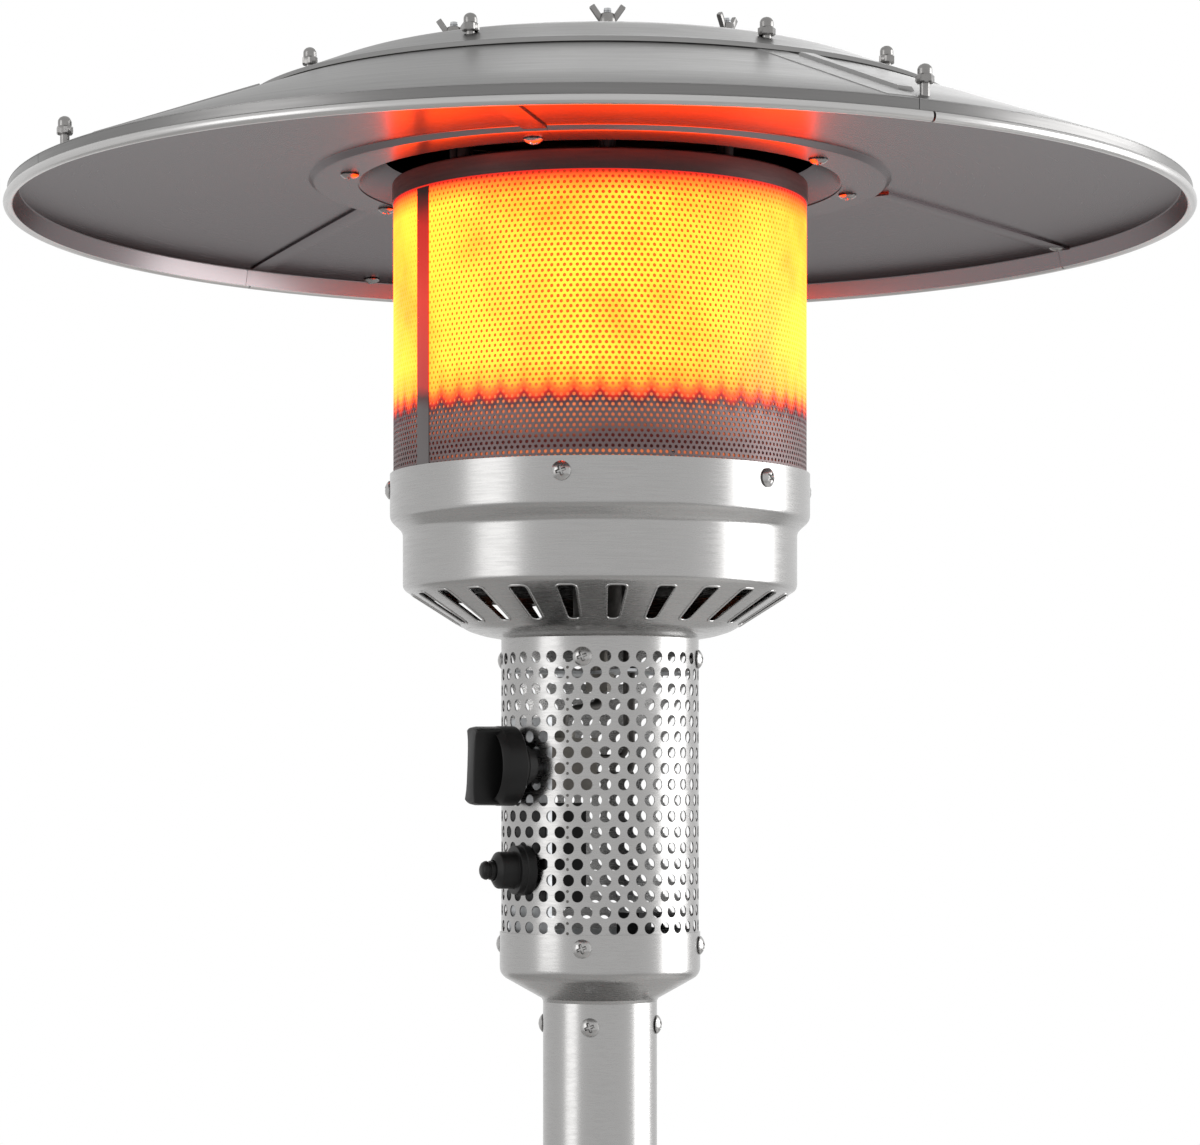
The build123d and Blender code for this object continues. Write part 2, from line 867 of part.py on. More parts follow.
def knob_bar():
    """The upright grip bar, waisted in plan, with a rounded front."""
    half = knob_bar_width / 2
    end = half + knob_bar_flare
    right = ThreePointArc((end, -knob_radius), (half, 0), (end, knob_radius))
    left = ThreePointArc((-end, knob_radius), (-half, 0), (-end, -knob_radius))
    caps = Line((end, knob_radius), (-end, knob_radius)) + Line((-end, -knob_radius), (end, -knob_radius))
    bar = extrude(make_face(right + caps + left), knob_depth)
    bar = bar & ring(knob_radius - slip_gap, 0, 0, knob_depth)
    front = [edge for edge in bar.edges() if edge.center().Z > knob_depth - slip_gap]
    return fillet(front, knob_bar_round)


def control_knob():
    """The knob: a deep round cup with an upright grip bar across it and a hollow back."""
    rim = knob_radius - knob_rim_slope
    cup = revolved(
        (0, 0),
        (knob_radius - 1, 0),
        (knob_radius, 1),
        (knob_radius, knob_skirt),
        (rim, knob_rim_depth),
        (0, knob_rim_depth),
    )
    hollow = revolved(
        (0, knob_floor),
        (rim - knob_wall - knob_floor_slope, knob_floor + knob_floor_slope),
        (rim - knob_wall, knob_rim_depth + 1),
        (0, knob_rim_depth + 1),
    )
    recess = ring(knob_radius - 4, 0, -1, knob_back_recess)
    socket = Pos(0, 0, knob_back_recess) * Cylinder(stem_radius + slip_gap, 2 * stem_in_knob)
    return along_control(cup - hollow + knob_bar() - recess - socket, knob_height, knob_standoff)


def igniter_body():
    """The igniter's barrel and its flange, cut to sit on the round shield."""
    back = plate_back() - igniter_box_depth * 0.15
    seat = -4.0
    guide = igniter_button_radius + slip_gap
    barrel = along_control(ring(igniter_barrel_radius, guide * 0.6, 0, seat - back), igniter_height, back)
    sleeve = along_control(ring(igniter_barrel_radius, guide, 0, igniter_flange_length - seat), igniter_height, seat)
    flange = ring(igniter_flange_radius, igniter_barrel_radius - 1, seat, igniter_flange_length)
    flange = along_control(flange, igniter_height, 0)
    reach = 2 * igniter_flange_radius
    flange = flange - ring(shield_radius, 0, igniter_height - reach, igniter_height + reach)
    return barrel + sleeve + flange


def igniter_collar():
    """The threaded collar outside the flange."""
    start = igniter_flange_length
    return along_control(
        revolved(
            (igniter_button_radius + slip_gap, 0),
            (igniter_collar_radius, 0),
            (igniter_collar_radius, igniter_collar_length - 3),
            (igniter_collar_radius - 2.5, igniter_collar_length),
            (igniter_button_radius + slip_gap, igniter_collar_length),
        ),
        igniter_height, start,
    )


def igniter_button():
    """The push button."""
    start = igniter_flange_length + igniter_push + 1
    end = igniter_flange_length + igniter_collar_length + igniter_button_proud
    length = end - start
    return along_control(
        revolved(
            (0, 0),
            (igniter_button_radius, 0),
            (igniter_button_radius, length - 2),
            (igniter_button_radius - 2, length),
            (0, length),
        ),
        igniter_height, start,
    )


def igniter_box():
    """The spark unit's box behind the plate."""
    box = Pos(igniter_box_shift, igniter_box_rise, 0) * Box(igniter_box_width, igniter_box_height, igniter_box_depth)
    box = along_control(box, igniter_height, plate_back() - igniter_box_depth / 2)
    barrel = Cylinder(igniter_barrel_radius + slip_gap, igniter_box_depth)
    return box - along_control(barrel, igniter_height, plate_back())


def gas_inlet():
    """The hexagon inlet fitting beside the valve, where the hose is screwed on."""
    fitting = hex_nut(inlet_flats, inlet_length) + ring(inlet_tail_radius, inlet_tail_radius / 2, inlet_length,
                                                       2 * inlet_length)
    return placed_along(fitting, valve_inlet(), -control_side)


def tilt_switch():
    """The switch on the bracket's floor that shuts the gas off if the heater tips."""
    floor = shield_bottom + control_plate_sheet
    place = polar(tilt_switch_radius, tilt_switch_angle, floor + tilt_box_height / 2)
    return Pos(*place) * Rot(0, 0, tilt_switch_angle) * Box(tilt_box_width, tilt_box_width, tilt_box_height)


def cross_top():
    """The top of the injector's cross, under the bowl's neck."""
    return bowl_foot_height - bowl_neck_drop


def injector_bottom():
    """The injector's foot."""
    return cross_top() - cross_sheet - injector_hex_height


def injector():
    """The brass jet below the mixer tube."""
    nose_top = injector_hex_height + cross_sheet + injector_nose
    nose = ring(injector_nose_radius, 0, injector_hex_height, nose_top)
    return Pos(0, 0, injector_bottom()) * (hex_nut(injector_flats, injector_hex_height) + nose)


def supply_tube():
    """The tube from the valve's outlet to the injector."""
    start = valve_outlet()
    end = Vector(0, 0, injector_bottom())
    rise = end.Z - start.Z
    lower = Vector(start.X, start.Y, start.Z + rise * 0.36)
    upper = Vector(0, 0, start.Z + rise * 0.6)
    path = FilletPolyline(start, lower, upper, end, radius=tube_bend)
    return sweep(Plane(origin=start, z_dir=(0, 0, 1)) * Circle(tube_radius), path=path)


def mixer_tube():
    """The tube that mixes gas and air, flared into the drum."""
    top = burner_plate_height
    bottom = top - mixer_drop
    flare = top - mixer_flare_height
    return revolved(
        (mixer_radius, bottom),
        (mixer_mouth_radius, bottom),
        (mixer_radius + mixer_wall, bottom + 14),
        (mixer_radius + mixer_wall, flare),
        (mixer_mouth_radius + mixer_wall, top),
        (mixer_mouth_radius, top),
        (mixer_radius, flare),
    )


def injector_cross():
    """The crossed bars under the bowl's neck that hold the injector on the axis."""
    length = 2 * (shield_radius - thin_sheet - slip_gap)
    bar = Pos(0, 0, cross_top() - cross_sheet / 2) * Box(length, cross_width, cross_sheet)
    bars = (bar + Rot(0, 0, 90) * bar) & ring(length / 2, injector_nose_radius, cross_top() - cross_sheet,
                                              cross_top())
    return Rot(0, 0, cross_turn) * bars


def burner_plate():
    """The pan across the bowl: a floor with air ports round the drum and a rim inside the screen."""
    floor_top = burner_plate_height + burner_plate_sheet
    rim_outer = emitter_radius - thin_sheet
    plate = ring(bowl_bore, mixer_mouth_radius, burner_plate_height, floor_top)
    rim = ring(rim_outer, rim_outer - head_sheet, burner_plate_height, bowl_top - 2)
    circle = (drum_radius + inner_emitter_radius) / 2
    ports = []
    for i in range(burner_ports):
        angle = burner_port_start + i * burner_port_arc / (burner_ports - 1)
        ports.append(Pos(*polar(circle, angle, burner_plate_height)) * Cylinder(burner_port_radius, 10))
    return plate + rim - ports - holes_at(bowl_sites(), screw_radius)


def burner_drum():
    """The burner's drum on the plate, open below to the mixer tube."""
    bottom = burner_plate_height + burner_plate_sheet
    top = bottom + drum_height
    wall = 1.5
    return revolved(
        (drum_radius - wall, bottom),
        (drum_radius, bottom),
        (drum_radius, top - 5),
        (drum_radius - 5, top),
        (0, top),
        (0, top - wall),
        (drum_radius - 5.5, top - wall),
        (drum_radius - wall, top - 5.5),
    )


def inner_emitter():
    """The inner cylinder that glows, hung from the emitter's cap above the drum."""
    bottom = burner_plate_height + burner_plate_sheet + drum_height + inner_emitter_clear
    top = emitter_top - thin_sheet
    inner = inner_emitter_radius - inner_emitter_wall
    wall = ring(inner_emitter_radius, inner, bottom, top)
    return wall + ring(inner_emitter_radius, inner - inner_emitter_flange, top - inner_emitter_wall, top)


def emitter_screen():
    """The outer screen with its upright seam strip."""
    outer = emitter_radius
    top = emitter_top - thin_sheet
    screen = ring(outer, outer - thin_sheet, emitter_bottom, top)
    strip = radial_strip(seam_strip_angle, outer - 3, outer + 3, seam_strip_width, bowl_top + 1,
                         emitter_top - emitter_cap_skirt - 1)
    cover = ring(outer - thin_sheet / 2, outer - 2 * thin_sheet, emitter_bottom, top)
    return screen + (strip & cover) - holes_at(bowl_sites(), screw_radius)


def emitter_cap():
    """The plain collar and top plate over the screen."""
    outer = emitter_radius + thin_sheet
    cap = revolved(
        (outer, emitter_top - emitter_cap_skirt),
        (outer, emitter_top - emitter_cap_edge),
        (outer - emitter_cap_edge, emitter_top),
        (emitter_cap_bore, emitter_top),
        (emitter_cap_bore, emitter_top - thin_sheet),
        (emitter_radius, emitter_top - thin_sheet),
        (emitter_radius, emitter_top - emitter_cap_skirt),
    )
    holes = [Pos(*polar(stud_circle_radius, a, emitter_top)) * Cylinder(stud_radius, 10) for a in stud_angles]
    return cap - holes


def burner_bowl():
    """The bowl: two bands, a cone with tapered slots and a collar on the shield."""
    neck = shield_radius - thin_sheet - slip_gap
    sheet = head_sheet
    outline = [
        (neck, bowl_foot_height - bowl_neck_drop),
        (neck, bowl_foot_height),
        (bowl_cone_foot_radius - 10, bowl_foot_height + 0.6),
        (bowl_cone_foot_radius, bowl_cone_foot),
        (bowl_lower_radius, bowl_cone_top),
        (bowl_lower_radius, bowl_step_bottom),
        (bowl_upper_radius, bowl_step_top),
        (bowl_upper_radius, bowl_top),
    ]
    inside = offset_2d_line(outline, -sheet)
    bowl = revolved(*outline, *reversed(inside))
    rise = bowl_cone_top - bowl_cone_foot
    shape = make_face(Polyline(
        (slot_inner_radius, -slot_inner_width / 2),
        (slot_outer_radius, -slot_outer_width / 2),
        (slot_outer_radius, slot_outer_width / 2),
        (slot_inner_radius, slot_inner_width / 2),
        close=True,
    ))
    shape = fillet(shape.vertices(), slot_inner_width * 0.45)
    cutter = Pos(0, 0, bowl_cone_foot - 12) * extrude(shape, rise + 24)
    cuts = [Rot(0, 0, slot_first_angle + i * 360 / slot_count) * cutter for i in range(slot_count)]
    return bowl - cuts - holes_at(shield_sites() + bowl_sites(), screw_radius)


def lining_line():
    """The lining's underside from the lip's foot to its inner edge."""
    return [
        (lip_radius - thin_sheet / 2, rim_bead_height + 1),
        (lip_radius - thin_sheet / 2, lip_height),
        (lining_ring_outer, lining_ring_height + lining_bevel_drop),
        (lining_ring_outer - lining_bevel, lining_ring_height),
        (lining_ring_inner, lining_ring_height),
    ]


def lining_sheet():
    """The whole round of the lining."""
    line = lining_line()
    return revolved(*line, *reversed(offset_2d_line(line, thin_sheet)))


def lap_strip_sheet():
    """The whole round of the strips under the lining's seams."""
    line = []
    for radius in (lip_radius - 4, lining_ring_outer + 3):
        line.append((radius, lining_height(radius) + thin_sheet / 2))
    return revolved(*line, *reversed(offset_2d_line(line, -thin_sheet / 2 - head_sheet)))


def seam_points(seam):
    """The two plan points that a lining seam runs through."""
    inner, outer = seam
    return polar(lining_ring_outer, inner), polar(lip_radius, outer)


def lining_sector(first, second):
    """The plan region between two lining seams, as a tall solid."""
    a, b = seam_points(first)
    c, d = seam_points(second)
    a_in = polar(lining_ring_inner - 4, first[0])
    c_in = polar(lining_ring_inner - 4, second[0])
    b_out = a + (b - a).normalized() * (rim_radius + 60)
    d_out = c + (d - c).normalized() * (rim_radius + 60)
    turn = (second[1] - first[1]) % 360
    far = [polar(1.7 * rim_radius, first[1] + turn * share) for share in (0.12, 0.37, 0.63, 0.88)]
    near = [polar((lining_ring_inner - 4) * 0.8, first[0] + (second[0] - first[0]) % 360 * s)
            for s in (0.75, 0.5, 0.25)]
    corners = [a_in, a, b_out, *far, d_out, c, c_in, *near]
    outline = Polyline(*[(p.X, p.Y) for p in corners], close=True)
    return Pos(0, 0, rim_bead_height - 20) * extrude(make_face(outline), 80)


def seam_strip_cutter(seam):
    """The upright slab over a lining seam, as wide as its lap strip."""
    a, b = seam_points(seam)
    length = (b - a).length
    turn = degrees(atan2(b.Y - a.Y, b.X - a.X))
    slab = Box(length - strip_end_gap, lining_strip_width, big)
    slab = Pos((length + strip_end_shift) / 2, lining_strip_width / 2, 0) * slab
    return Pos(a.X, a.Y, lip_height) * Rot(0, 0, turn) * slab


def lining_panels():
    """The three lining panels, each with a lap strip under its neighbour's edge."""
    whole = lining_sheet()
    strips = lap_strip_sheet()
    panels = []
    count = len(lining_seams)
    for i in range(count):
        sector = lining_sector(lining_seams[i], lining_seams[(i + 1) % count])
        panel = whole & sector
        strip = strips & seam_strip_cutter(lining_seams[i])
        joined = panel + strip
        panels.append(joined - ring_screw_holes() - outer_screw_holes())
    return panels


def ring_screw_holes():
    """Clearance for the screws of the lining's ring."""
    return [Pos(*polar(ring_screw_radius, a, lining_ring_height)) * Cylinder(screw_radius, 12)
            for a in ring_screw_angles]


def outer_screw_angles():
    """The plan angles of the screws through both skins near the rim."""
    return hood_seam_angles


def outer_screw_holes():
    """Clearance for the screws through both skins near the rim."""
    return [Pos(*polar(outer_screw_radius, a, lip_height)) * Cylinder(screw_radius, 60)
            for a in outer_screw_angles()]


def lining_ring():
    """The flat ring above the lining panels' inner edges."""
    bottom = lining_ring_height + thin_sheet
    outer = lining_ring_inner + lining_ring_lap
    return ring(outer, lining_hole_radius, bottom, bottom + head_sheet) - [
        Pos(*polar(ring_screw_radius, a, bottom)) * Cylinder(screw_radius, 12) for a in ring_screw_angles
    ]


def ring_screws():
    """The screws up through the lining's ring, with their nuts."""
    items = []
    for a in ring_screw_angles:
        items.append(placed_along(pan_screw(12), polar(ring_screw_radius, a, lining_ring_height), (0, 0, -1)))
    return items


def ring_nuts():
    """The nuts on the ring's screws."""
    top = lining_ring_height + thin_sheet + head_sheet
    return [Pos(*polar(ring_screw_radius, a, top)) * hex_nut(nut_flats, nut_height, screw_radius) for a in ring_screw_angles]


def hood_height(radius):
    """The hood's outer surface at a radius."""
    return hood_edge_height + (hood_edge_radius - radius) * hood_rise


def hood_sheet():
    """The whole round of the hood's cone with its turned-down edge."""
    edge = lip_radius + thin_sheet / 2 + thin_sheet
    line = [
        (edge, hood_height(edge) - hood_edge_turn),
        (edge, hood_height(edge)),
        (hood_inner_radius, hood_height(hood_inner_radius)),
    ]
    return revolved(*line, *reversed(offset_2d_line(line, -thin_sheet)))


def hood_skin(outer, inner, rise, sheet):
    """A band of sheet above the hood, its top this far above the hood's surface."""
    line = [(radius, hood_height(radius) + rise) for radius in (outer, inner)]
    return revolved(*line, *reversed(offset_2d_line(line, -sheet)))


def hood_panels():
    """The four hood panels, each lapping over the next one and carrying a rib beside its seam."""
    sheet = hood_sheet()
    laps = hood_skin(hood_edge_radius - 6, crown_edge_radius + 1, hood_step, thin_sheet)
    ribs = hood_skin(rib_outer_radius, rib_inner_radius, rib_height, rib_height)
    low, high = lip_height - 30, crown_flat_height + 30
    panels = []
    for start in hood_seam_angles:
        panel = sheet & wedge(start, start + 90, low, high)
        lap_side = 2 - hood_lap_width / 2
        lap = laps & radial_strip(start, crown_edge_radius / 2, rim_radius, hood_lap_width, low, high, lap_side)
        rib = ribs & radial_strip(start, crown_edge_radius / 2, rim_radius, rib_width, low, high, rib_offset)
        panels.append(panel + lap + rib - outer_screw_holes() - crown_nut_holes())
    return panels


def crown_nut_holes():
    """Clearance for the screws that hold the crown to the panels."""
    return [Pos(*polar(crown_nut_radius, a, crown_brow_height)) * Cylinder(screw_radius, 60)
            for a in crown_nut_angles]


def crown_plate():
    """The crown: a seat on the panels, a bead, a brow, a shallow cone and a flat top."""
    seat_end = crown_edge_radius - crown_seat_width
    line = [
        (crown_edge_radius, hood_height(crown_edge_radius) + hood_step),
        (seat_end, hood_height(seat_end) + hood_step),
        (crown_step_radius, hood_height(crown_step_radius) + hood_step + crown_step_height),
        (crown_brow_radius, crown_brow_height),
        (crown_flat_radius, crown_flat_height),
        (0, crown_flat_height),
    ]
    plate = revolved(*line, *reversed(offset_2d_line(line, -thin_sheet)))
    return plate - crown_nut_holes() - holes_at(sites_up(stud_circle_radius, crown_flat_height, stud_angles), stud_radius)


def crown_height(radius):
    """The crown's outer surface between the bead and the brow."""
    foot = hood_height(crown_step_radius) + hood_step + crown_step_height
    share = (crown_step_radius - radius) / (crown_step_radius - crown_brow_radius)
    return foot + (crown_brow_height - foot) * share


def outer_screws():
    """The screws up through both skins near the rim."""
    items = []
    under = lining_height(outer_screw_radius + screw_head_radius)
    top = hood_height(outer_screw_radius) + cap_nut_standoff + nut_height
    for a in outer_screw_angles():
        items.append(placed_along(pan_screw(top - under), polar(outer_screw_radius, a, under), (0, 0, -1)))
    return items


def lining_height(radius):
    """The lining's underside at a radius outside its ring."""
    inner = lining_ring_height + lining_bevel_drop
    share = (radius - lining_ring_outer) / (lip_radius - thin_sheet / 2 - lining_ring_outer)
    return inner + (lip_height - inner) * share


def crown_screws():
    """The screws up through the hood panels and the crown."""
    items = []
    under = hood_height(crown_nut_radius + screw_head_radius) - hood_step
    top = crown_height(crown_nut_radius - nut_flats / 2) + nut_height
    for a in crown_nut_angles:
        items.append(placed_along(pan_screw(top - under), polar(crown_nut_radius, a, under), (0, 0, -1)))
    return items


def cap_nuts():
    """The domed nuts on the outer and the crown screws, bored for them."""
    nuts = []
    for a in outer_screw_angles():
        base = hood_height(outer_screw_radius) + cap_nut_standoff
        nuts.append(Pos(*polar(outer_screw_radius, a, base)) * (cap_nut() - Cylinder(screw_radius, 2 * nut_height)))
    for a in crown_nut_angles:
        base = crown_height(crown_nut_radius - nut_flats / 2) + seat_gap
        nuts.append(Pos(*polar(crown_nut_radius, a, base)) * (cap_nut() - Cylinder(screw_radius, 2 * nut_height)))
    return nuts


def rim_trim():
    """The rolled bead round the lip, in three lengths."""
    bead = Pos(0, 0, rim_bead_height) * Torus(lip_radius, rim_bead_radius)
    slot = ring(lip_radius + thin_sheet / 2 + slip_gap, lip_radius - thin_sheet / 2 - slip_gap,
                rim_bead_height + 1 - slip_gap, rim_bead_height + 2 * rim_bead_radius)
    gaps = [radial_strip(a, lip_radius - 20, lip_radius + 20, rim_gap, rim_bead_height - 10, rim_bead_height + 10)
            for a in rim_gap_angles]
    return bead - slot - gaps


def studs():
    """The studs from the emitter's cap to the wing nuts."""
    bottom = emitter_top - thin_sheet
    top = crown_flat_height + stud_proud
    return [Pos(*polar(stud_circle_radius, a)) * ring(stud_radius, 0, bottom, top) for a in stud_angles]


def spacers():
    """The tubes round the studs that hold the crown above the emitter."""
    top = crown_flat_height - thin_sheet
    return [Pos(*polar(stud_circle_radius, a)) * ring(spacer_radius, stud_radius, emitter_top, top)
            for a in stud_angles]


def wing_nuts():
    """The wing nuts on the crown."""
    turns = (0.0, 0.0, 10.0, 78.0)
    return [Pos(*polar(stud_circle_radius, a, crown_flat_height)) * Rot(0, 0, t) * wing_nut()
            for a, t in zip(stud_angles, turns)]


def pilot_burner():
    """The small hooded pilot on the burner plate."""
    place = polar(probe_circle, pilot_angle, burner_plate_height + burner_plate_sheet)
    hood = ring(pilot_radius, lead_tube_radius, 0, pilot_height)
    window = Pos(0, pilot_radius, pilot_height * 0.8) * Box(pilot_radius, 2 * pilot_radius, pilot_height / 3)
    foot = ring(pilot_radius + 2, lead_tube_radius, 0, 2)
    return Pos(*place) * (foot + hood - window)


def probe(angle, length, radius):
    """A straight probe that stands on the burner plate."""
    place = polar(probe_circle, angle, burner_plate_height + burner_plate_sheet)
    return Pos(*place) * (ring(radius, 0, 0, length) + ring(radius + 2, 0, 0, 6))


def lead_tube(across, rise, angle):
    """A thin tube from the valve's back up to the burner plate."""
    start = valve_middle() - control_axis * (valve_depth / 2) + control_side * across + Vector(0, 0, rise)
    bend = start - control_axis * lead_tube_run
    low = Vector(bend.X, bend.Y, cross_top() - 2 * cross_sheet)
    foot = polar(probe_circle, angle)
    high = Vector(foot.X, foot.Y, burner_plate_height - lead_tube_run)
    end = Vector(foot.X, foot.Y, burner_plate_height)
    path = FilletPolyline(start, bend, low, high, end, radius=lead_tube_bend)
    return sweep(Plane(origin=start, z_dir=-control_axis) * Circle(lead_tube_radius), path=path)


nodes = {
    "base_plate": base_plate(),
    "base_ballast": ballast(),
    "post_leg_rear": leg_at(leg_angles[0]),
    "post_leg_left": leg_at(leg_angles[1]),
    "post_leg_right": leg_at(leg_angles[2]),
    "base_bolts": base_bolts(),
    "tank_housing": tank_housing(),
    "housing_cover": housing_cover(),
    "neck_collar": neck_collar(),
    "cover_screws": cover_screws(),
    "wheel_bracket": wheel_bracket(),
    "wheel_axle": axle(),
    "axle_caps": axle_caps(),
    "wheel_left": wheel(-1),
    "wheel_right": wheel(1),
    "post": post(),
    "head_cup": head_cup(),
    "perforated_shield": perforated_shield(),
    "head_screws": head_screws(),
    "valve_bracket": valve_bracket(),
    "gas_valve": gas_valve(),
    "valve_bonnet": valve_bonnet(),
    "valve_rotor": valve_rotor(),
    "valve_stem": valve_stem(),
    "control_knob": control_knob(),
    "igniter_body": igniter_body(),
    "igniter_collar": igniter_collar(),
    "igniter_button": igniter_button(),
    "igniter_box": igniter_box(),
    "gas_inlet": gas_inlet(),
    "tilt_switch": tilt_switch(),
    "supply_tube": supply_tube(),
    "injector": injector(),
    "injector_cross": injector_cross(),
    "mixer_tube": mixer_tube(),
    "burner_bowl": burner_bowl(),
    "burner_plate": burner_plate(),
    "burner_drum": burner_drum(),
    "inner_emitter": inner_emitter(),
    "emitter_screen": emitter_screen(),
    "emitter_cap": emitter_cap(),
    "pilot_burner": pilot_burner(),
    "spark_electrode": probe(electrode_angle, electrode_length, electrode_radius),
    "thermocouple": probe(thermocouple_angle, thermocouple_length, thermocouple_radius),
    "lead_tubes": [lead_tube(0.0, 6.0, pilot_angle), lead_tube(9.0, -6.0, thermocouple_angle)],
    "lining_ring": lining_ring(),
    "crown_plate": crown_plate(),
    "reflector_screws": ring_screws() + outer_screws() + crown_screws(),
    "cap_nuts": cap_nuts() + ring_nuts(),
    "rim_trim": rim_trim(),
    "reflector_studs": studs(),
    "stud_spacers": spacers(),
    "wing_nuts": wing_nuts(),
}
for number, panel in enumerate(lining_panels(), 1):
    nodes[f"lining_panel_{number}"] = panel
for number, panel in enumerate(hood_panels(), 1):
    nodes[f"hood_panel_{number}"] = panel

os.makedirs("parts", exist_ok=True)
for name, shape in nodes.items():
    items = shape if isinstance(shape, list) else [shape]
    export_step(as_node(items), f"parts/{name}.step")
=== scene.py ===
"""The looks of a gas patio heater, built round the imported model's frame.

Lengths in the classes are in millimetres, and MeshSketch turns them to metres. Plan angles are in degrees
from +X towards +Y, so the front of the heater lies at 270.
"""

import logging
import math
from dataclasses import dataclass
from enum import Enum
from typing import Callable, Optional, Sequence, Union

import bmesh
import bpy
import numpy as np
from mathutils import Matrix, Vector


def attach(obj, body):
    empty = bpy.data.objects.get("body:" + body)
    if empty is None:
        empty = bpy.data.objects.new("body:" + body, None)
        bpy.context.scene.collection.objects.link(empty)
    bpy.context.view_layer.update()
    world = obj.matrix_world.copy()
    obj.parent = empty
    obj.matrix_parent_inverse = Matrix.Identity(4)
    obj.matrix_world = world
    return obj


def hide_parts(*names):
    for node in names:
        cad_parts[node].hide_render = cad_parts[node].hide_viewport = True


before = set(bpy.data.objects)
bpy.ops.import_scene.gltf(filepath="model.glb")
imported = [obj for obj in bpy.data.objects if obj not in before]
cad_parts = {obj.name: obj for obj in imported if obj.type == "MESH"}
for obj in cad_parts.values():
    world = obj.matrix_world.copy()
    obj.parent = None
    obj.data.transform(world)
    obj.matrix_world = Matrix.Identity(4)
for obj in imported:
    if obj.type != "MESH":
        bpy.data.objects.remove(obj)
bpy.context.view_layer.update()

LOG = logging.getLogger("patio_heater")
MM = 0.001
Point = tuple[float, float]
Colour = tuple[float, float, float]
Stops = Sequence[tuple[float, Colour]]
Socket = bpy.types.NodeSocket
Value = Union[Socket, float]
UP = (0.0, 0.0, 1.0)
DOWN = (0.0, 0.0, -1.0)


# Lines and outlines


def shifted(points: Sequence[Point], distance: float) -> list[Point]:
    """Moves an open line to its left, with mitred corners.

    Args:
        points: The line.
        distance: How far it moves; negative moves it right.

    Returns:
        The moved line.
    """
    line = np.array(points, float)
    runs = np.diff(line, axis=0)
    runs /= np.linalg.norm(runs, axis=1)[:, None]
    normals = np.stack([-runs[:, 1], runs[:, 0]], axis=1)
    moved = []
    for i, point in enumerate(line):
        before = normals[max(i - 1, 0)]
        after = normals[min(i, len(normals) - 1)]
        middle = (before + after) / (1 + float(before @ after))
        moved.append(tuple(point + middle * distance))
    return moved


def bent(points: Sequence[Point], radius: float, steps: int = 5, closed: bool = False) -> list[Point]:
    """Rounds the corners of a line.

    Args:
        points: The line.
        radius: How far from each corner the bend starts, kept under half of each run.
        steps: Points per bend, less one.
        closed: Whether the line is an outline.

    Returns:
        The rounded line.
    """
    line = [np.array(p, float) for p in points]
    count = len(line)
    rounded: list[Point] = []
    for i, corner in enumerate(line):
        if not closed and i in (0, count - 1):
            rounded.append(tuple(corner))
            continue
        before = line[i - 1] - corner
        after = line[(i + 1) % count] - corner
        long_before = float(np.linalg.norm(before))
        long_after = float(np.linalg.norm(after))
        reach = min(radius, 0.48 * long_before, 0.48 * long_after)
        start = corner + before / long_before * reach
        end = corner + after / long_after * reach
        for step in range(steps + 1):
            t = step / steps
            rounded.append(tuple((1 - t) ** 2 * start + 2 * t * (1 - t) * corner + t * t * end))
    return rounded


def sheet(points: Sequence[Point], thickness: float) -> list[Point]:
    """The closed outline of a sheet that lies to the right of a line."""
    return list(points) + list(reversed(shifted(points, -thickness)))


def between(a: Point, b: Point, share: float) -> Point:
    """The point at a share of the way from one to another."""
    return a[0] + (b[0] - a[0]) * share, a[1] + (b[1] - a[1]) * share


def divided(corners: Sequence[Point], parts: Sequence[int]) -> list[Point]:
    """Divides each side of an outline.

    Args:
        corners: The outline's corners.
        parts: Into how many parts each side goes.

    Returns:
        The divided outline.
    """
    outline = []
    for a, b, count in zip(corners, [*corners[1:], corners[0]], parts):
        outline += [between(a, b, k / count) for k in range(count)]
    return outline


def finer(points: Sequence[Point], longest: float) -> list[Point]:
    """Divides a line's runs so that none is longer than asked.

    Args:
        points: The line.
        longest: The longest run allowed.

    Returns:
        The divided line.
    """
    line = [points[0]]
    for a, b in zip(points, points[1:]):
        parts = max(1, math.ceil(math.dist(a, b) / longest))
        line += [between(a, b, k / parts) for k in range(1, parts + 1)]
    return line


def polar(radius: float, angle: float, height: float = 0.0) -> np.ndarray:
    """A point from its radius, plan angle and height."""
    turn = math.radians(angle)
    return np.array([radius * math.cos(turn), radius * math.sin(turn), height])


def oblong(left: float, right: float, low: float, high: float) -> list[Point]:
    """A rectangle; spun round Z it is a tube, or a rod where its left side is 0."""
    return [(left, low), (right, low), (right, high), (left, high)]


def joining_quads(count: int, first: int, second: int) -> list[list[int]]:
    """Faces between two closed rings of as many points, from each ring's first point."""
    steps = [(k, (k + 1) % count) for k in range(count)]
    return [[first + k, first + after, second + after, second + k] for k, after in steps]


def pierced_faces(count: int) -> list[list[int]]:
    """Faces of sheet with a hole, whose rings are the border on both faces, then the hole on both."""
    pairs = ((0, 2 * count), (count, 3 * count), (2 * count, 3 * count))
    return [quad for first, second in pairs for quad in joining_quads(count, first, second)]


def standing(
    origin: Sequence[float], up: Sequence[float] = UP, side: Optional[Sequence[float]] = None
) -> np.ndarray:
    """A place whose +Z runs along a direction.

    Args:
        origin: Where the place's origin is.
        up: The direction of its +Z.
        side: The direction of its +X, or None for any.

    Returns:
        A 4 by 4 matrix.
    """
    z = np.array(up, float)
    z /= np.linalg.norm(z)
    if side is None:
        side = UP if abs(z[2]) < 0.9 else (1.0, 0.0, 0.0)
    x = np.array(side, float)
    x -= z * float(x @ z)
    x /= np.linalg.norm(x)
    place = np.eye(4)
    place[:3, 0] = x
    place[:3, 1] = np.cross(z, x)
    place[:3, 2] = z
    place[:3, 3] = origin
    return place


# Finishes


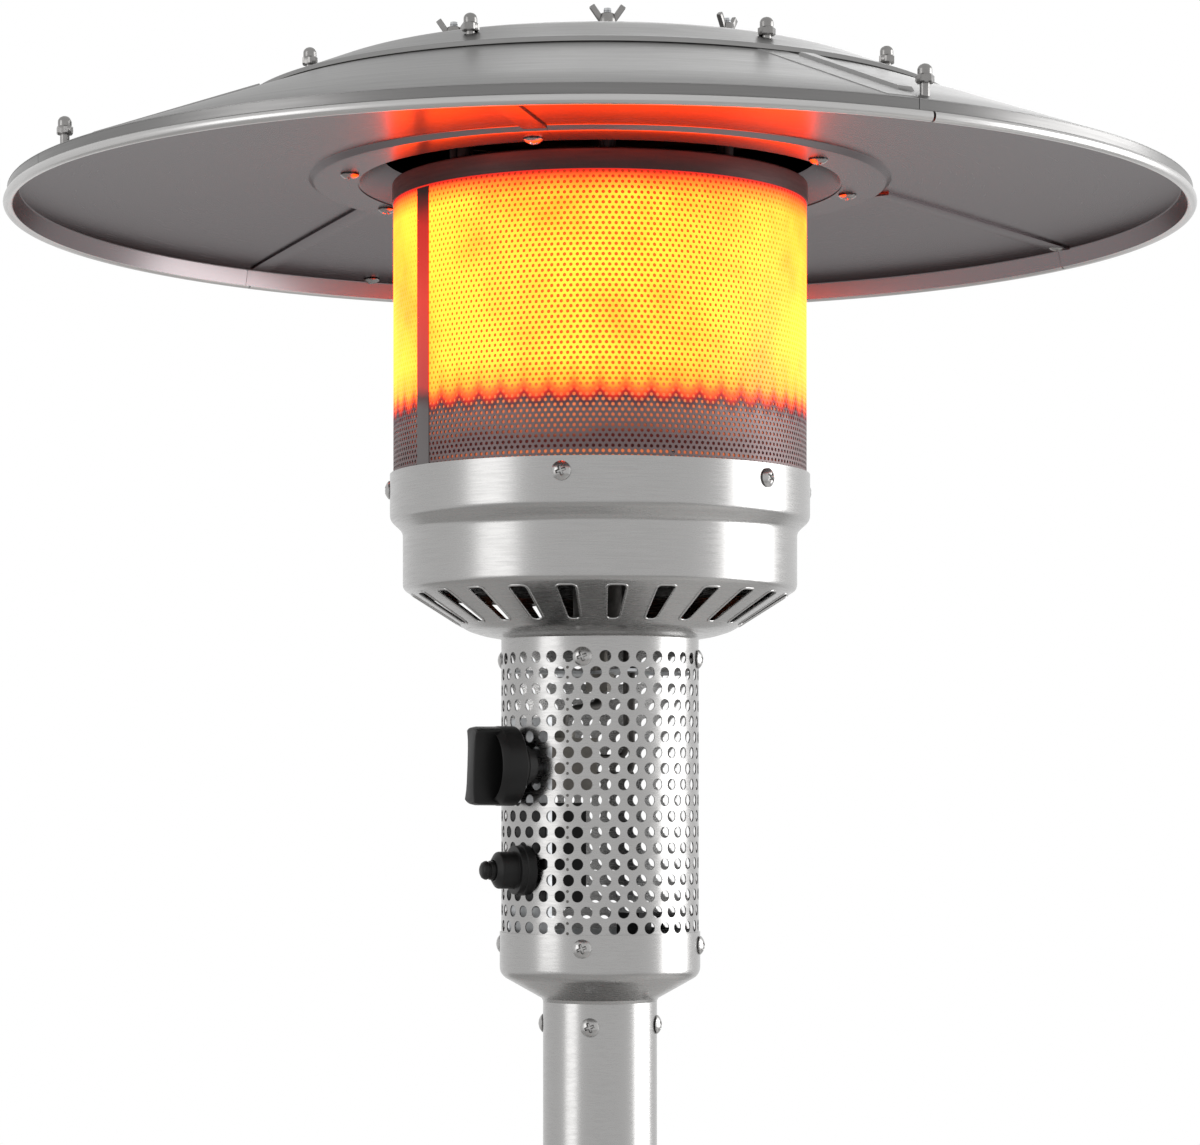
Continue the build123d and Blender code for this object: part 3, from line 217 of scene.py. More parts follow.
class Grain(Enum):
    """Which way a metal's brushing runs."""

    ROUND = "round the upright axis"
    NONE = "no direction"


class Wiring:
    """The nodes of one material."""

    def __init__(self, name: str) -> None:
        """Starts an empty material with its output and a Principled shader.

        Args:
            name: The material's name.
        """
        self.material = bpy.data.materials.new(name)
        self.material.use_nodes = True
        self.tree = self.material.node_tree
        self.tree.nodes.clear()
        self.output = self.add("ShaderNodeOutputMaterial")
        self.shader = self.add("ShaderNodeBsdfPrincipled")
        self.join(self.shader.outputs["BSDF"], self.output.inputs["Surface"])

    def add(self, kind: str) -> bpy.types.Node:
        """Adds a node of a kind."""
        return self.tree.nodes.new(kind)

    def join(self, source: Socket, target: Socket) -> None:
        """Links two sockets."""
        self.tree.links.new(source, target)

    def put(self, target: Socket, value: Union[Value, Sequence[float]]) -> None:
        """Links a socket or sets its own value.

        Args:
            target: The input.
            value: A socket to link, or a constant.
        """
        if isinstance(value, bpy.types.NodeSocket):
            self.join(value, target)
        else:
            target.default_value = value

    def set(self, name: str, value: Union[Value, Sequence[float]]) -> None:
        """Links or sets one of the shader's own sockets."""
        self.put(self.shader.inputs[name], value)

    def math(self, operation: str, a: Value, b: Value = 0.0, clamp: bool = False) -> Socket:
        """One sum on the wiring.

        Args:
            operation: Blender's name of it.
            a: The first value.
            b: The second value.
            clamp: Whether the result stays between 0 and 1.

        Returns:
            The result's socket.
        """
        node = self.add("ShaderNodeMath")
        node.operation = operation
        node.use_clamp = clamp
        self.put(node.inputs[0], a)
        self.put(node.inputs[1], b)
        return node.outputs[0]

    def place(self) -> tuple[Socket, Socket, Socket, Socket]:
        """The point in the object's frame.

        Returns:
            The whole vector and its x, y and z, in metres.
        """
        coordinates = self.add("ShaderNodeTexCoord")
        parts = self.add("ShaderNodeSeparateXYZ")
        self.join(coordinates.outputs["Object"], parts.inputs[0])
        return coordinates.outputs["Object"], parts.outputs[0], parts.outputs[1], parts.outputs[2]

    def vector(self, x: Value, y: Value, z: Value) -> Socket:
        """A vector from three values.

        Args:
            x: Its first value.
            y: Its second value.
            z: Its third value.

        Returns:
            The vector's socket.
        """
        node = self.add("ShaderNodeCombineXYZ")
        for target, value in zip(node.inputs, (x, y, z)):
            self.put(target, value)
        return node.outputs[0]

    def noise(self, vector: Socket, scale: float, detail: float = 3.0, roughness: float = 0.5) -> Socket:
        """Noise between 0 and 1 on a vector.

        Args:
            vector: Where it is read.
            scale: How fine it is.
            detail: How many finer layers it has.
            roughness: How strong the finer layers are.

        Returns:
            The noise's socket.
        """
        node = self.add("ShaderNodeTexNoise")
        self.join(vector, node.inputs["Vector"])
        node.inputs["Scale"].default_value = scale
        node.inputs["Detail"].default_value = detail
        node.inputs["Roughness"].default_value = roughness
        return node.outputs["Fac"]

    def ramp(self, factor: Socket, stops: Stops) -> Socket:
        """A colour ramp.

        Args:
            factor: The value that it is read with.
            stops: Places and colours, in order.

        Returns:
            The colour's socket.
        """
        node = self.add("ShaderNodeValToRGB")
        marks = node.color_ramp.elements
        while len(marks) < len(stops):
            marks.new(0.5)
        for mark, (place, colour) in zip(marks, stops):
            mark.position = place
            mark.color = (*colour, 1.0)
        self.join(factor, node.inputs[0])
        return node.outputs["Color"]

    def mottle(self, factor: Socket, tone: Colour, contrast: float = 0.2, start: float = 0.3) -> Socket:
        """A colour that runs from darker to lighter than a tone.

        Args:
            factor: The value that it is read with.
            tone: The colour in the middle.
            contrast: How far it departs from the tone.
            start: Where it starts to change; it ends as far from 1.

        Returns:
            The colour's socket.
        """
        dark = tuple(c * (1 - contrast) for c in tone)
        light = tuple(min(1.0, c * (1 + contrast)) for c in tone)
        return self.ramp(factor, ((start, dark), (1 - start, light)))

    def spread(self, factor: Socket, low: float, high: float, source: Point = (0.3, 0.7)) -> Socket:
        """Maps a value's range to another.

        Args:
            factor: The value.
            low: The result at the source's start.
            high: The result at the source's end.
            source: The source range.

        Returns:
            The result's socket, kept inside the range.
        """
        node = self.add("ShaderNodeMapRange")
        self.join(factor, node.inputs["Value"])
        node.inputs["From Min"].default_value = source[0]
        node.inputs["From Max"].default_value = source[1]
        node.inputs["To Min"].default_value = low
        node.inputs["To Max"].default_value = high
        return node.outputs["Result"]

    def blend(self, factor: Socket, first: Union[Socket, Colour], second: Union[Socket, Colour]) -> Socket:
        """Mixes two colours.

        Args:
            factor: How much of the second colour there is.
            first: The first colour.
            second: The second colour.

        Returns:
            The colour's socket.
        """
        node = self.add("ShaderNodeMix")
        node.data_type = "RGBA"
        self.join(factor, node.inputs[0])
        for target, value in ((node.inputs[6], first), (node.inputs[7], second)):
            if isinstance(value, bpy.types.NodeSocket):
                self.join(value, target)
            else:
                target.default_value = (*value, 1.0)
        return node.outputs[2]

    def bump(self, height: Socket, strength: float, distance: float) -> None:
        """Bumps the shader's surface.

        Args:
            height: The height's socket.
            strength: How strong the bump is.
            distance: The bump's depth in metres.
        """
        node = self.add("ShaderNodeBump")
        node.inputs["Strength"].default_value = strength
        node.inputs["Distance"].default_value = distance
        self.join(height, node.inputs["Height"])
        self.join(node.outputs["Normal"], self.shader.inputs["Normal"])

    def around(self) -> tuple[Socket, Socket, Socket]:
        """The point as plan angle, radius and height.

        Returns:
            The angle in radians from the front, positive towards +X, then radius and height in metres.
        """
        _, x, y, z = self.place()
        angle = self.math("ARCTAN2", x, self.math("MULTIPLY", y, -1.0))
        square = self.math("ADD", self.math("MULTIPLY", x, x), self.math("MULTIPLY", y, y))
        return angle, self.math("SQRT", square), z

    def grain(self, way: Grain, fineness: float) -> Socket:
        """Brushing noise.

        Args:
            way: Which way the strokes run.
            fineness: Strokes per metre across the brushing.

        Returns:
            The noise's socket.
        """
        if way is Grain.ROUND:
            angle, radius, z = self.around()
            across = self.math("MULTIPLY", radius, fineness)
            vector = self.vector(self.math("MULTIPLY", angle, 5.0), across, self.math("MULTIPLY", z, fineness))
            return self.noise(vector, 1.0, 5.0, 0.7)
        return self.noise(self.place()[0], fineness, 4.0, 0.6)


@dataclass(frozen=True)
class Finish:
    """What every finish has.

    Attributes:
        name: The material's name.
        slot: The record's material slot; not used.
    """

    name: str
    slot: str

    def material(self) -> bpy.types.Material:
        """Builds the material."""
        wiring = Wiring(self.name)
        self.wire(wiring)
        return wiring.material

    def wire(self, wiring: Wiring) -> None:
        """Wires what is the finish's own."""
        raise NotImplementedError


@dataclass(frozen=True)
class Metal(Finish):
    """A brushed or plain metal.

    Attributes:
        way: Which way it is brushed.
        fineness: Strokes per metre.
        contrast: How far the strokes vary its tone.
        depth: The bump's strength.
        play: How far the strokes vary the roughness.
        edge: How much it reflects at a grazing angle.
    """

    tone: Colour
    roughness: float = 0.34
    way: Grain = Grain.ROUND
    fineness: float = 420.0
    contrast: float = 0.10
    depth: float = 0.10
    play: float = 0.05
    edge: float = 1.0

    def wire(self, wiring: Wiring) -> None:
        """Wires the strokes and the sheen.

        Args:
            wiring: The material's nodes.
        """
        strokes = wiring.grain(self.way, self.fineness)
        clouds = wiring.noise(wiring.place()[0], 9.0, 2.0)
        fine, broad = wiring.math("MULTIPLY", strokes, 0.75), wiring.math("MULTIPLY", clouds, 0.25)
        level = wiring.math("ADD", fine, broad)
        wiring.set("Base Color", wiring.mottle(level, self.tone, self.contrast, 0.32))
        wiring.set("Roughness", wiring.spread(strokes, self.roughness + self.play, self.roughness - self.play))
        wiring.set("Metallic", 1.0)
        wiring.set("Specular Tint", (self.edge, self.edge, self.edge, 1.0))
        wiring.bump(strokes, self.depth, 0.0006)


@dataclass(frozen=True)
class Moulding(Finish):
    """A moulded plastic, a paint or a rubber.

    Attributes:
        texture: How fine its skin is.
        depth: The bump's strength.
        gloss: The specular level.
    """

    tone: Colour
    roughness: float = 0.45
    texture: float = 900.0
    depth: float = 0.12
    gloss: float = 0.35

    def wire(self, wiring: Wiring) -> None:
        """Wires the skin and the clouds.

        Args:
            wiring: The material's nodes.
        """
        whole = wiring.place()[0]
        skin = wiring.noise(whole, self.texture, 3.0)
        clouds = wiring.noise(whole, 22.0, 3.0)
        wiring.set("Base Color", wiring.mottle(clouds, self.tone))
        wiring.set("Roughness", wiring.spread(clouds, self.roughness + 0.06, self.roughness - 0.06))
        wiring.set("Specular IOR Level", self.gloss)
        wiring.bump(skin, self.depth, 0.0002)


@dataclass(frozen=True)
class GlowingScreen(Finish):
    """The outer screen's web: hot yellow, red at the top, dull grey below a scalloped flame line.

    Attributes:
        flame_line: The height where the glow ends.
        hot_stops: Glow colours above the flame line, by its patches.
        foot_stops: Glow colours across the flame line, from below it upwards.
        fading: The heights between which the glow fades under the cap.
        faded: The glow's colour under the cap.
        cold_tone: The metal's colour below the flame line.
        hot_tone: The metal's colour above it.
    """

    name: str = "glowing_screen"
    slot: str = "screen_steel"
    flame_line: float = 1965.0
    scallops: int = 53
    scallop_depth: float = 5.0
    strength: float = 17.0
    hot_stops: Stops = ((0.3, (1.0, 0.034, 0.002)), (0.45, (1.0, 0.048, 0.003)), (0.6, (1.0, 0.059, 0.0038)))
    foot_stops: Stops = (
        (0.0, (0.0, 0.0, 0.0)), (0.16, (0.0009, 0.0002, 0.0005)), (0.24, (0.0028, 0.0004, 0.0009)),
        (0.33, (0.038, 0.0012, 0.0005)), (0.44, (0.115, 0.0103, 0.0011)), (0.56, (0.4, 0.028, 0.0019)),
        (1.0, (1.0, 0.043, 0.0026)),
    )
    fading: Point = (2096.0, 2111.0)
    faded: Colour = (0.055, 0.0017, 0.0009)
    cold_tone: Colour = (0.17, 0.125, 0.125)
    hot_tone: Colour = (0.03, 0.012, 0.012)

    def wire(self, wiring: Wiring) -> None:
        """Wires the glow and the metal under it.

        Args:
            wiring: The material's nodes.
        """
        angle, _, z = wiring.around()
        height = wiring.math("MULTIPLY", z, 1000.0)
        wave = wiring.math("ABSOLUTE", wiring.math("SINE", wiring.math("MULTIPLY", angle, self.scallops / 2)))
        edge = wiring.math("MULTIPLY", wave, -self.scallop_depth)
        above = wiring.math("SUBTRACT", height, wiring.math("ADD", edge, self.flame_line + self.scallop_depth))
        whole = wiring.place()[0]
        patches = wiring.noise(whole, 14.0, 3.0, 0.6)
        low = wiring.math("DIVIDE", wiring.math("ADD", above, 14.0), 40.0, clamp=True)
        rise = wiring.spread(low, 0.0, 1.0, (0.5, 1.0))
        glow = wiring.blend(rise, wiring.ramp(low, self.foot_stops), wiring.ramp(patches, self.hot_stops))
        top = wiring.spread(height, 0.0, 1.0, self.fading)
        wiring.set("Emission Color", wiring.blend(top, glow, self.faded))
        wiring.set("Emission Strength", self.strength)
        wiring.set("Base Color", wiring.ramp(low, ((0.1, self.cold_tone), (0.3, self.hot_tone))))
        wiring.set("Metallic", 0.6)
        wiring.set("Roughness", wiring.spread(patches, 0.45, 0.6))
        wiring.bump(wiring.noise(whole, 700.0), 0.1, 0.0003)


@dataclass(frozen=True)
class GlowByHeight(Finish):
    """A hot piece whose glow changes with height.

    Attributes:
        low: The height of the first stop.
        high: The height of the last stop.
        stops: Glow colours from 0 at low to 1 at high.
        tone: The metal's own colour.
    """

    low: float
    high: float
    stops: Stops
    tone: Colour = (0.05, 0.03, 0.03)
    strength: float = 1.0

    def wire(self, wiring: Wiring) -> None:
        """Wires the glow by height.

        Args:
            wiring: The material's nodes.
        """
        whole, _, _, z = wiring.place()
        patches = wiring.noise(whole, 18.0, 3.0)
        shift = wiring.math("MULTIPLY", wiring.math("SUBTRACT", patches, 0.5), 0.02)
        level = wiring.spread(wiring.math("ADD", z, shift), 0.0, 1.0, (self.low * MM, self.high * MM))
        wiring.set("Emission Color", wiring.ramp(level, self.stops))
        wiring.set("Emission Strength", self.strength)
        wiring.set("Base Color", wiring.mottle(patches, self.tone))
        wiring.set("Metallic", 0.5)
        wiring.set("Roughness", wiring.spread(patches, 0.42, 0.6))
        wiring.bump(wiring.noise(whole, 600.0), 0.1, 0.0003)


HOOD_STEEL = Metal("hood_steel_finish", "hood_steel", (0.26, 0.258, 0.255), contrast=0.06, depth=0.08, edge=0.7)
# Painted shade: the lining's steel is painted darker than the hood's for the shade under the reflector, and
# tinted faintly pink as painted red glow from the screens.
SHADED_LINING_STEEL = Metal(
    "shaded_lining_steel_finish", "lining_steel", (0.18, 0.163, 0.168), 0.27,
    fineness=900.0, contrast=0.02, depth=0.0, play=0.005, edge=0.55,
)
# Painted highlight: the rim bead is the hood's steel painted lighter, for the light on its rounded edge.
LIT_RIM_STEEL = Metal(
    "lit_rim_steel_finish", "hood_steel", (0.46, 0.455, 0.45), 0.3, Grain.ROUND, 500.0, 0.06, 0.05
)
# Painted shade: the hood's plain edge wall is the hood's steel painted darker, for the shade on that hanging
# face.
SHADED_EDGE_STEEL = Metal(
    "shaded_edge_steel_finish", "hood_steel", (0.18, 0.178, 0.176), 0.32, Grain.ROUND, 500.0, 0.06, 0.05
)
BODY_STEEL = Metal(
    "body_steel_finish", "brushed_steel", (0.355, 0.351, 0.347), 0.27, Grain.ROUND, 620.0, 0.05, 0.03
)
BRIGHT_STEEL = Metal(
    "bright_steel_finish", "bright_screws", (0.38, 0.375, 0.37), 0.26, Grain.NONE, 260.0, 0.06, 0.05
)
NUT_STEEL = Metal(
    "nut_steel_finish", "bright_screws", (0.24, 0.235, 0.23), 0.28, Grain.NONE, 260.0, 0.08, 0.05
)
ZINC = Metal("zinc_finish", "zinc_plate", (0.45, 0.46, 0.47), 0.38, Grain.NONE, 120.0, 0.18, 0.06)
# Painted shade: zinc painted near black for the studs and spacers in the dark hollow between the lining's ring
# and the crown.
SHADE_DARK_ZINC = Metal(
    "shade_dark_zinc_finish", "zinc_plate", (0.025, 0.023, 0.023), 0.6, Grain.NONE, 120.0, 0.2, 0.06
)
DARK_STEEL = Metal("dark_steel_finish", "dark_steel", (0.10, 0.095, 0.09), 0.5, Grain.NONE, 200.0, 0.25, 0.10)
BRASS = Metal("brass_finish", "brass", (0.17, 0.16, 0.145), 0.42, Grain.NONE, 200.0, 0.10, 0.05)
CAP_STEEL = Metal("cap_steel_finish", "hot_steel", (0.12, 0.08, 0.078), 0.45, Grain.ROUND, 420.0, 0.15, 0.08)
BEZEL_BLACK = Moulding("bezel_black_finish", "dark_steel", (0.03, 0.03, 0.03), 0.38)
BLACK_PLASTIC = Moulding("black_plastic_finish", "black_plastic", (0.007, 0.007, 0.007), 0.42, gloss=0.22)
WHEEL_RUBBER = Moulding("wheel_rubber_finish", "wheel_rubber", (0.022, 0.022, 0.023), 0.65, 500.0, 0.25, 0.3)
BASE_PAINT = Moulding("base_paint_finish", "base_paint", (0.05, 0.05, 0.052), 0.5, 420.0, 0.3, 0.4)
BALLAST_IRON = Moulding("ballast_iron_finish", "ballast_iron", (0.07, 0.065, 0.06), 0.75, 260.0, 0.5, 0.3)
SCREEN_GLOW = GlowingScreen()
INNER_GLOW = GlowByHeight(
    "inner_glow", "hot_steel", 1931.0, 2125.0,
    (
        (0.0, (0.02, 0.004, 0.004)), (0.05, (0.07, 0.01, 0.008)), (0.085, (0.5, 0.13, 0.06)),
        (0.17, (0.8, 0.22, 0.08)), (0.25, (0.72, 0.12, 0.012)), (0.8, (0.75, 0.13, 0.013)),
        (0.93, (0.5, 0.03, 0.008)), (1.0, (0.1, 0.01, 0.005)),
    ),
)
# The seam strip glows red where the screen is hot. The grey emission of its first two stops, on the cold foot
# below the flame line, is painted light.
SEAM_GLOW_AND_PAINTED_LIGHT = GlowByHeight(
    "seam_glow_and_painted_light", "screen_steel", 1915.0, 2112.0,
    (
        (0.0, (0.09, 0.085, 0.085)), (0.24, (0.08, 0.07, 0.07)), (0.27, (0.06, 0.01, 0.01)),
        (0.31, (0.5, 0.016, 0.01)), (0.6, (0.75, 0.03, 0.012)), (0.86, (0.6, 0.016, 0.009)),
        (0.93, (0.14, 0.008, 0.006)), (0.98, (0.01, 0.003, 0.003)),
    ),
    (0.035, 0.03, 0.03),
)
DRUM_GLOW = GlowByHeight(
    "drum_glow", "hot_steel", 1901.0, 1930.0,
    ((0.0, (0.0, 0.0, 0.0)), (0.6, (0.004, 0.001, 0.001)), (1.0, (0.05, 0.008, 0.006))),
    (0.02, 0.016, 0.016),
)


# Meshes


class MeshSketch:
    """Gathers points in millimetres and faces, and turns them into one object."""

    def __init__(self, name: str) -> None:
        """Starts an empty sketch.

        Args:
            name: The object's name.
        """
        self.name = name
        self.points: list[np.ndarray] = []
        self.faces: list[list[int]] = []
        self.count = 0

    def add(
        self, points: np.ndarray, faces: Union[np.ndarray, list[list[int]]], place: Optional[np.ndarray] = None
    ) -> None:
        """Adds points and the faces that use them.

        Args:
            points: An n by 3 array.
            faces: Index lists that start at 0.
            place: A 4 by 4 matrix for the points, or None.
        """
        points = np.asarray(points, float).reshape(-1, 3)
        if place is not None:
            points = points @ place[:3, :3].T + place[:3, 3]
        self.points.append(points)
        if isinstance(faces, np.ndarray):
            self.faces.extend((faces + self.count).tolist())
        else:
            self.faces.extend([[i + self.count for i in face] for face in faces])
        self.count += len(points)

    def spin(
        self,
        outline: Sequence[Point],
        steps: int = 128,
        first: Union[float, np.ndarray] = 0.0,
        last: Union[float, np.ndarray] = 360.0,
        place: Optional[np.ndarray] = None,
        skip: Sequence[int] = (),
        ribbon_ends: bool = False,
    ) -> None:
        """Spins a closed (radius, height) outline round Z.

        Args:
            outline: The outline.
            steps: Faces round the sweep.
            first: The plan angle where each outline point starts.
            last: The plan angle where it ends.
            place: A matrix for the result, or None.
            skip: Outline runs, by their first point, that get no faces.
            ribbon_ends: Whether the ends are closed as a sheet's, pair by pair.
        """
        line = np.array(outline, float)
        count = len(line)
        first = np.broadcast_to(np.asarray(first, float), count)
        last = np.broadcast_to(np.asarray(last, float), count)
        whole = bool(np.allclose(last - first, 360.0))
        columns = steps if whole else steps + 1
        share = np.arange(columns)[:, None] / steps
        angles = np.radians(first + (last - first) * share)
        height = np.broadcast_to(line[:, 1], angles.shape)
        points = np.stack([line[:, 0] * np.cos(angles), line[:, 0] * np.sin(angles), height], axis=-1)
        drawn = np.array([i for i in range(count) if i not in skip])
        column, row = np.meshgrid(np.arange(steps), drawn, indexing="ij")
        ahead = (column + 1) % columns
        up = (row + 1) % count
        here, there = column * count, ahead * count
        faces = np.stack([here + row, there + row, there + up, here + up], axis=-1)
        self.add(points, faces.reshape(-1, 4), place)
        if whole:
            return
        base = self.count - columns * count
        for start in (base, base + (columns - 1) * count):
            if ribbon_ends:
                for i in range(count // 2 - 1):
                    self.faces.append([start + i, start + i + 1, start + count - 2 - i, start + count - 1 - i])
            else:
                self.faces.append([start + i for i in range(count)])

    def slab(
        self,
        us: Sequence[float],
        vs: Sequence[float],
        top: Callable[[np.ndarray, np.ndarray], np.ndarray],
        bottom: Callable[[np.ndarray, np.ndarray], np.ndarray],
    ) -> None:
        """A closed slab over a grid.

        Args:
            us: The grid's first values.
            vs: The grid's second values.
            top: Gives the upper points for grid arrays u and v.
            bottom: Gives the lower points.
        """
        u, v = np.meshgrid(np.array(us, float), np.array(vs, float), indexing="ij")
        rows, columns = u.shape
        points = np.concatenate([top(u, v).reshape(-1, 3), bottom(u, v).reshape(-1, 3)])
        below = rows * columns
        faces: list[list[int]] = []
        for i in range(rows - 1):
            for a in range(i * columns, (i + 1) * columns - 1):
                quad = [a, a + columns, a + columns + 1, a + 1]
                faces.append(quad)
                faces.append([k + below for k in reversed(quad)])
        border = list(range(columns))
        border += [i * columns + columns - 1 for i in range(1, rows)]
        border += [(rows - 1) * columns + j for j in range(columns - 2, -1, -1)]
        border += [i * columns for i in range(rows - 2, 0, -1)]
        for a, b in zip(border, border[1:] + border[:1]):
            faces.append([a, b, b + below, a + below])
        self.add(points, faces)

    def loop(self, stations: Sequence[np.ndarray], section: Sequence[Point]) -> None:
        """Sweeps a closed section round a closed run of places.

        Args:
            stations: Places whose X and Y carry the section and whose Z runs along.
            section: The section.
        """
        flat = np.array([(x, y, 0.0) for x, y in section])
        count, total = len(section), len(stations)
        faces: list[list[int]] = []
        for i in range(total):
            faces += joining_quads(count, i * count, (i + 1) % total * count)
        self.add(np.concatenate([flat @ place[:3, :3].T + place[:3, 3] for place in stations]), faces)

    def prism(
        self, outline: Sequence[Point], levels: Sequence[Point], place: Optional[np.ndarray] = None
    ) -> None:
        """Extrudes an outline through levels.

        Args:
            outline: The outline, seen along Z.
            levels: (height, scale) pairs from the bottom to the top.
            place: A matrix for the result, or None.
        """
        flat = np.array(outline, float)
        count = len(flat)
        points = [np.column_stack([flat * scale, np.full(count, height)]) for height, scale in levels]
        faces: list[list[int]] = [list(reversed(range(count)))]
        for start in range(0, (len(levels) - 1) * count, count):
            faces += joining_quads(count, start, start + count)
        faces.append([(len(levels) - 1) * count + k for k in range(count)])
        self.add(np.concatenate(points), faces, place)

    def build(self, crease: float = 35.0, bevel: float = 0.0) -> bpy.types.Object:
        """Makes the object.

        Args:
            crease: Edges sharper than this angle stay sharp.
            bevel: A bevel on sharp edges, or 0.

        Returns:
            The object, in metres.
        """
        mesh = bpy.data.meshes.new(self.name)
        points = np.concatenate(self.points) * MM
        mesh.from_pydata(points.tolist(), [], self.faces)
        work = bmesh.new()
        work.from_mesh(mesh)
        bmesh.ops.remove_doubles(work, verts=work.verts, dist=0.00002)
        bmesh.ops.dissolve_degenerate(work, edges=work.edges, dist=0.000005)
        bmesh.ops.recalc_face_normals(work, faces=work.faces)
        work.to_mesh(mesh)
        work.free()
        thing = bpy.data.objects.new(self.name, mesh)
        bpy.context.scene.collection.objects.link(thing)
        if bevel:
            modifier = thing.modifiers.new("soft_edges", "BEVEL")
            modifier.width = bevel * MM
            modifier.segments = 3
            modifier.limit_method = "ANGLE"
            modifier.angle_limit = math.radians(40)
            settle(thing)
        thing.data.shade_smooth()
        thing.data.set_sharp_from_angle(angle=math.radians(crease))
        return thing


def settle(thing: bpy.types.Object) -> None:
    """Turns an object's modifiers into its mesh.

    Args:
        thing: The object.
    """
    graph = bpy.context.evaluated_depsgraph_get()
    mesh = bpy.data.meshes.new_from_object(thing.evaluated_get(graph))
    thing.modifiers.clear()
    thing.data = mesh


def cut(thing: bpy.types.Object, cutter: bpy.types.Object) -> None:
    """Cuts one object out of another and removes the cutter.

    Args:
        thing: The object that is cut.
        cutter: The cutting object.
    """
    modifier = thing.modifiers.new("cut", "BOOLEAN")
    modifier.operation = "DIFFERENCE"
    modifier.solver = "EXACT"
    modifier.object = cutter
    settle(thing)
    bpy.data.objects.remove(cutter)
    thing.data.shade_smooth()
    thing.data.set_sharp_from_angle(angle=math.radians(35))


class Workshop:
    """Dresses pieces and nodes and keeps the materials."""

    def __init__(self) -> None:
        """Starts with no materials."""
        self.materials: dict[str, bpy.types.Material] = {}

    def finish(self, finish: Finish) -> bpy.types.Material:
        """The finish's material, built once."""
        if finish.name not in self.materials:
            self.materials[finish.name] = finish.material()
        return self.materials[finish.name]

    def add(self, thing: bpy.types.Object, finish: Finish, *replaces: str, body: str = "stand") -> None:
        """Dresses a piece and rides it on a body.

        Args:
            thing: The piece.
            finish: Its finish.
            replaces: The nodes that it stands for.
            body: The body that it moves with.
        """
        thing.data.materials.clear()
        thing.data.materials.append(self.finish(finish))
        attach(thing, body)
        if replaces:
            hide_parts(*replaces)
        LOG.info("piece %s: %d faces on %s", thing.name, len(thing.data.polygons), body)

    def dress(self, finish: Finish, *nodes: str) -> None:
        """Gives carried-over nodes a finish.

        Args:
            finish: The finish.
            nodes: The nodes' names.
        """
        for name in nodes:
            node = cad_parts[name]
            node.data.materials.clear()
            node.data.materials.append(self.finish(finish))
            LOG.info("node %s: %s", name, finish.name)


# Sub-assemblies


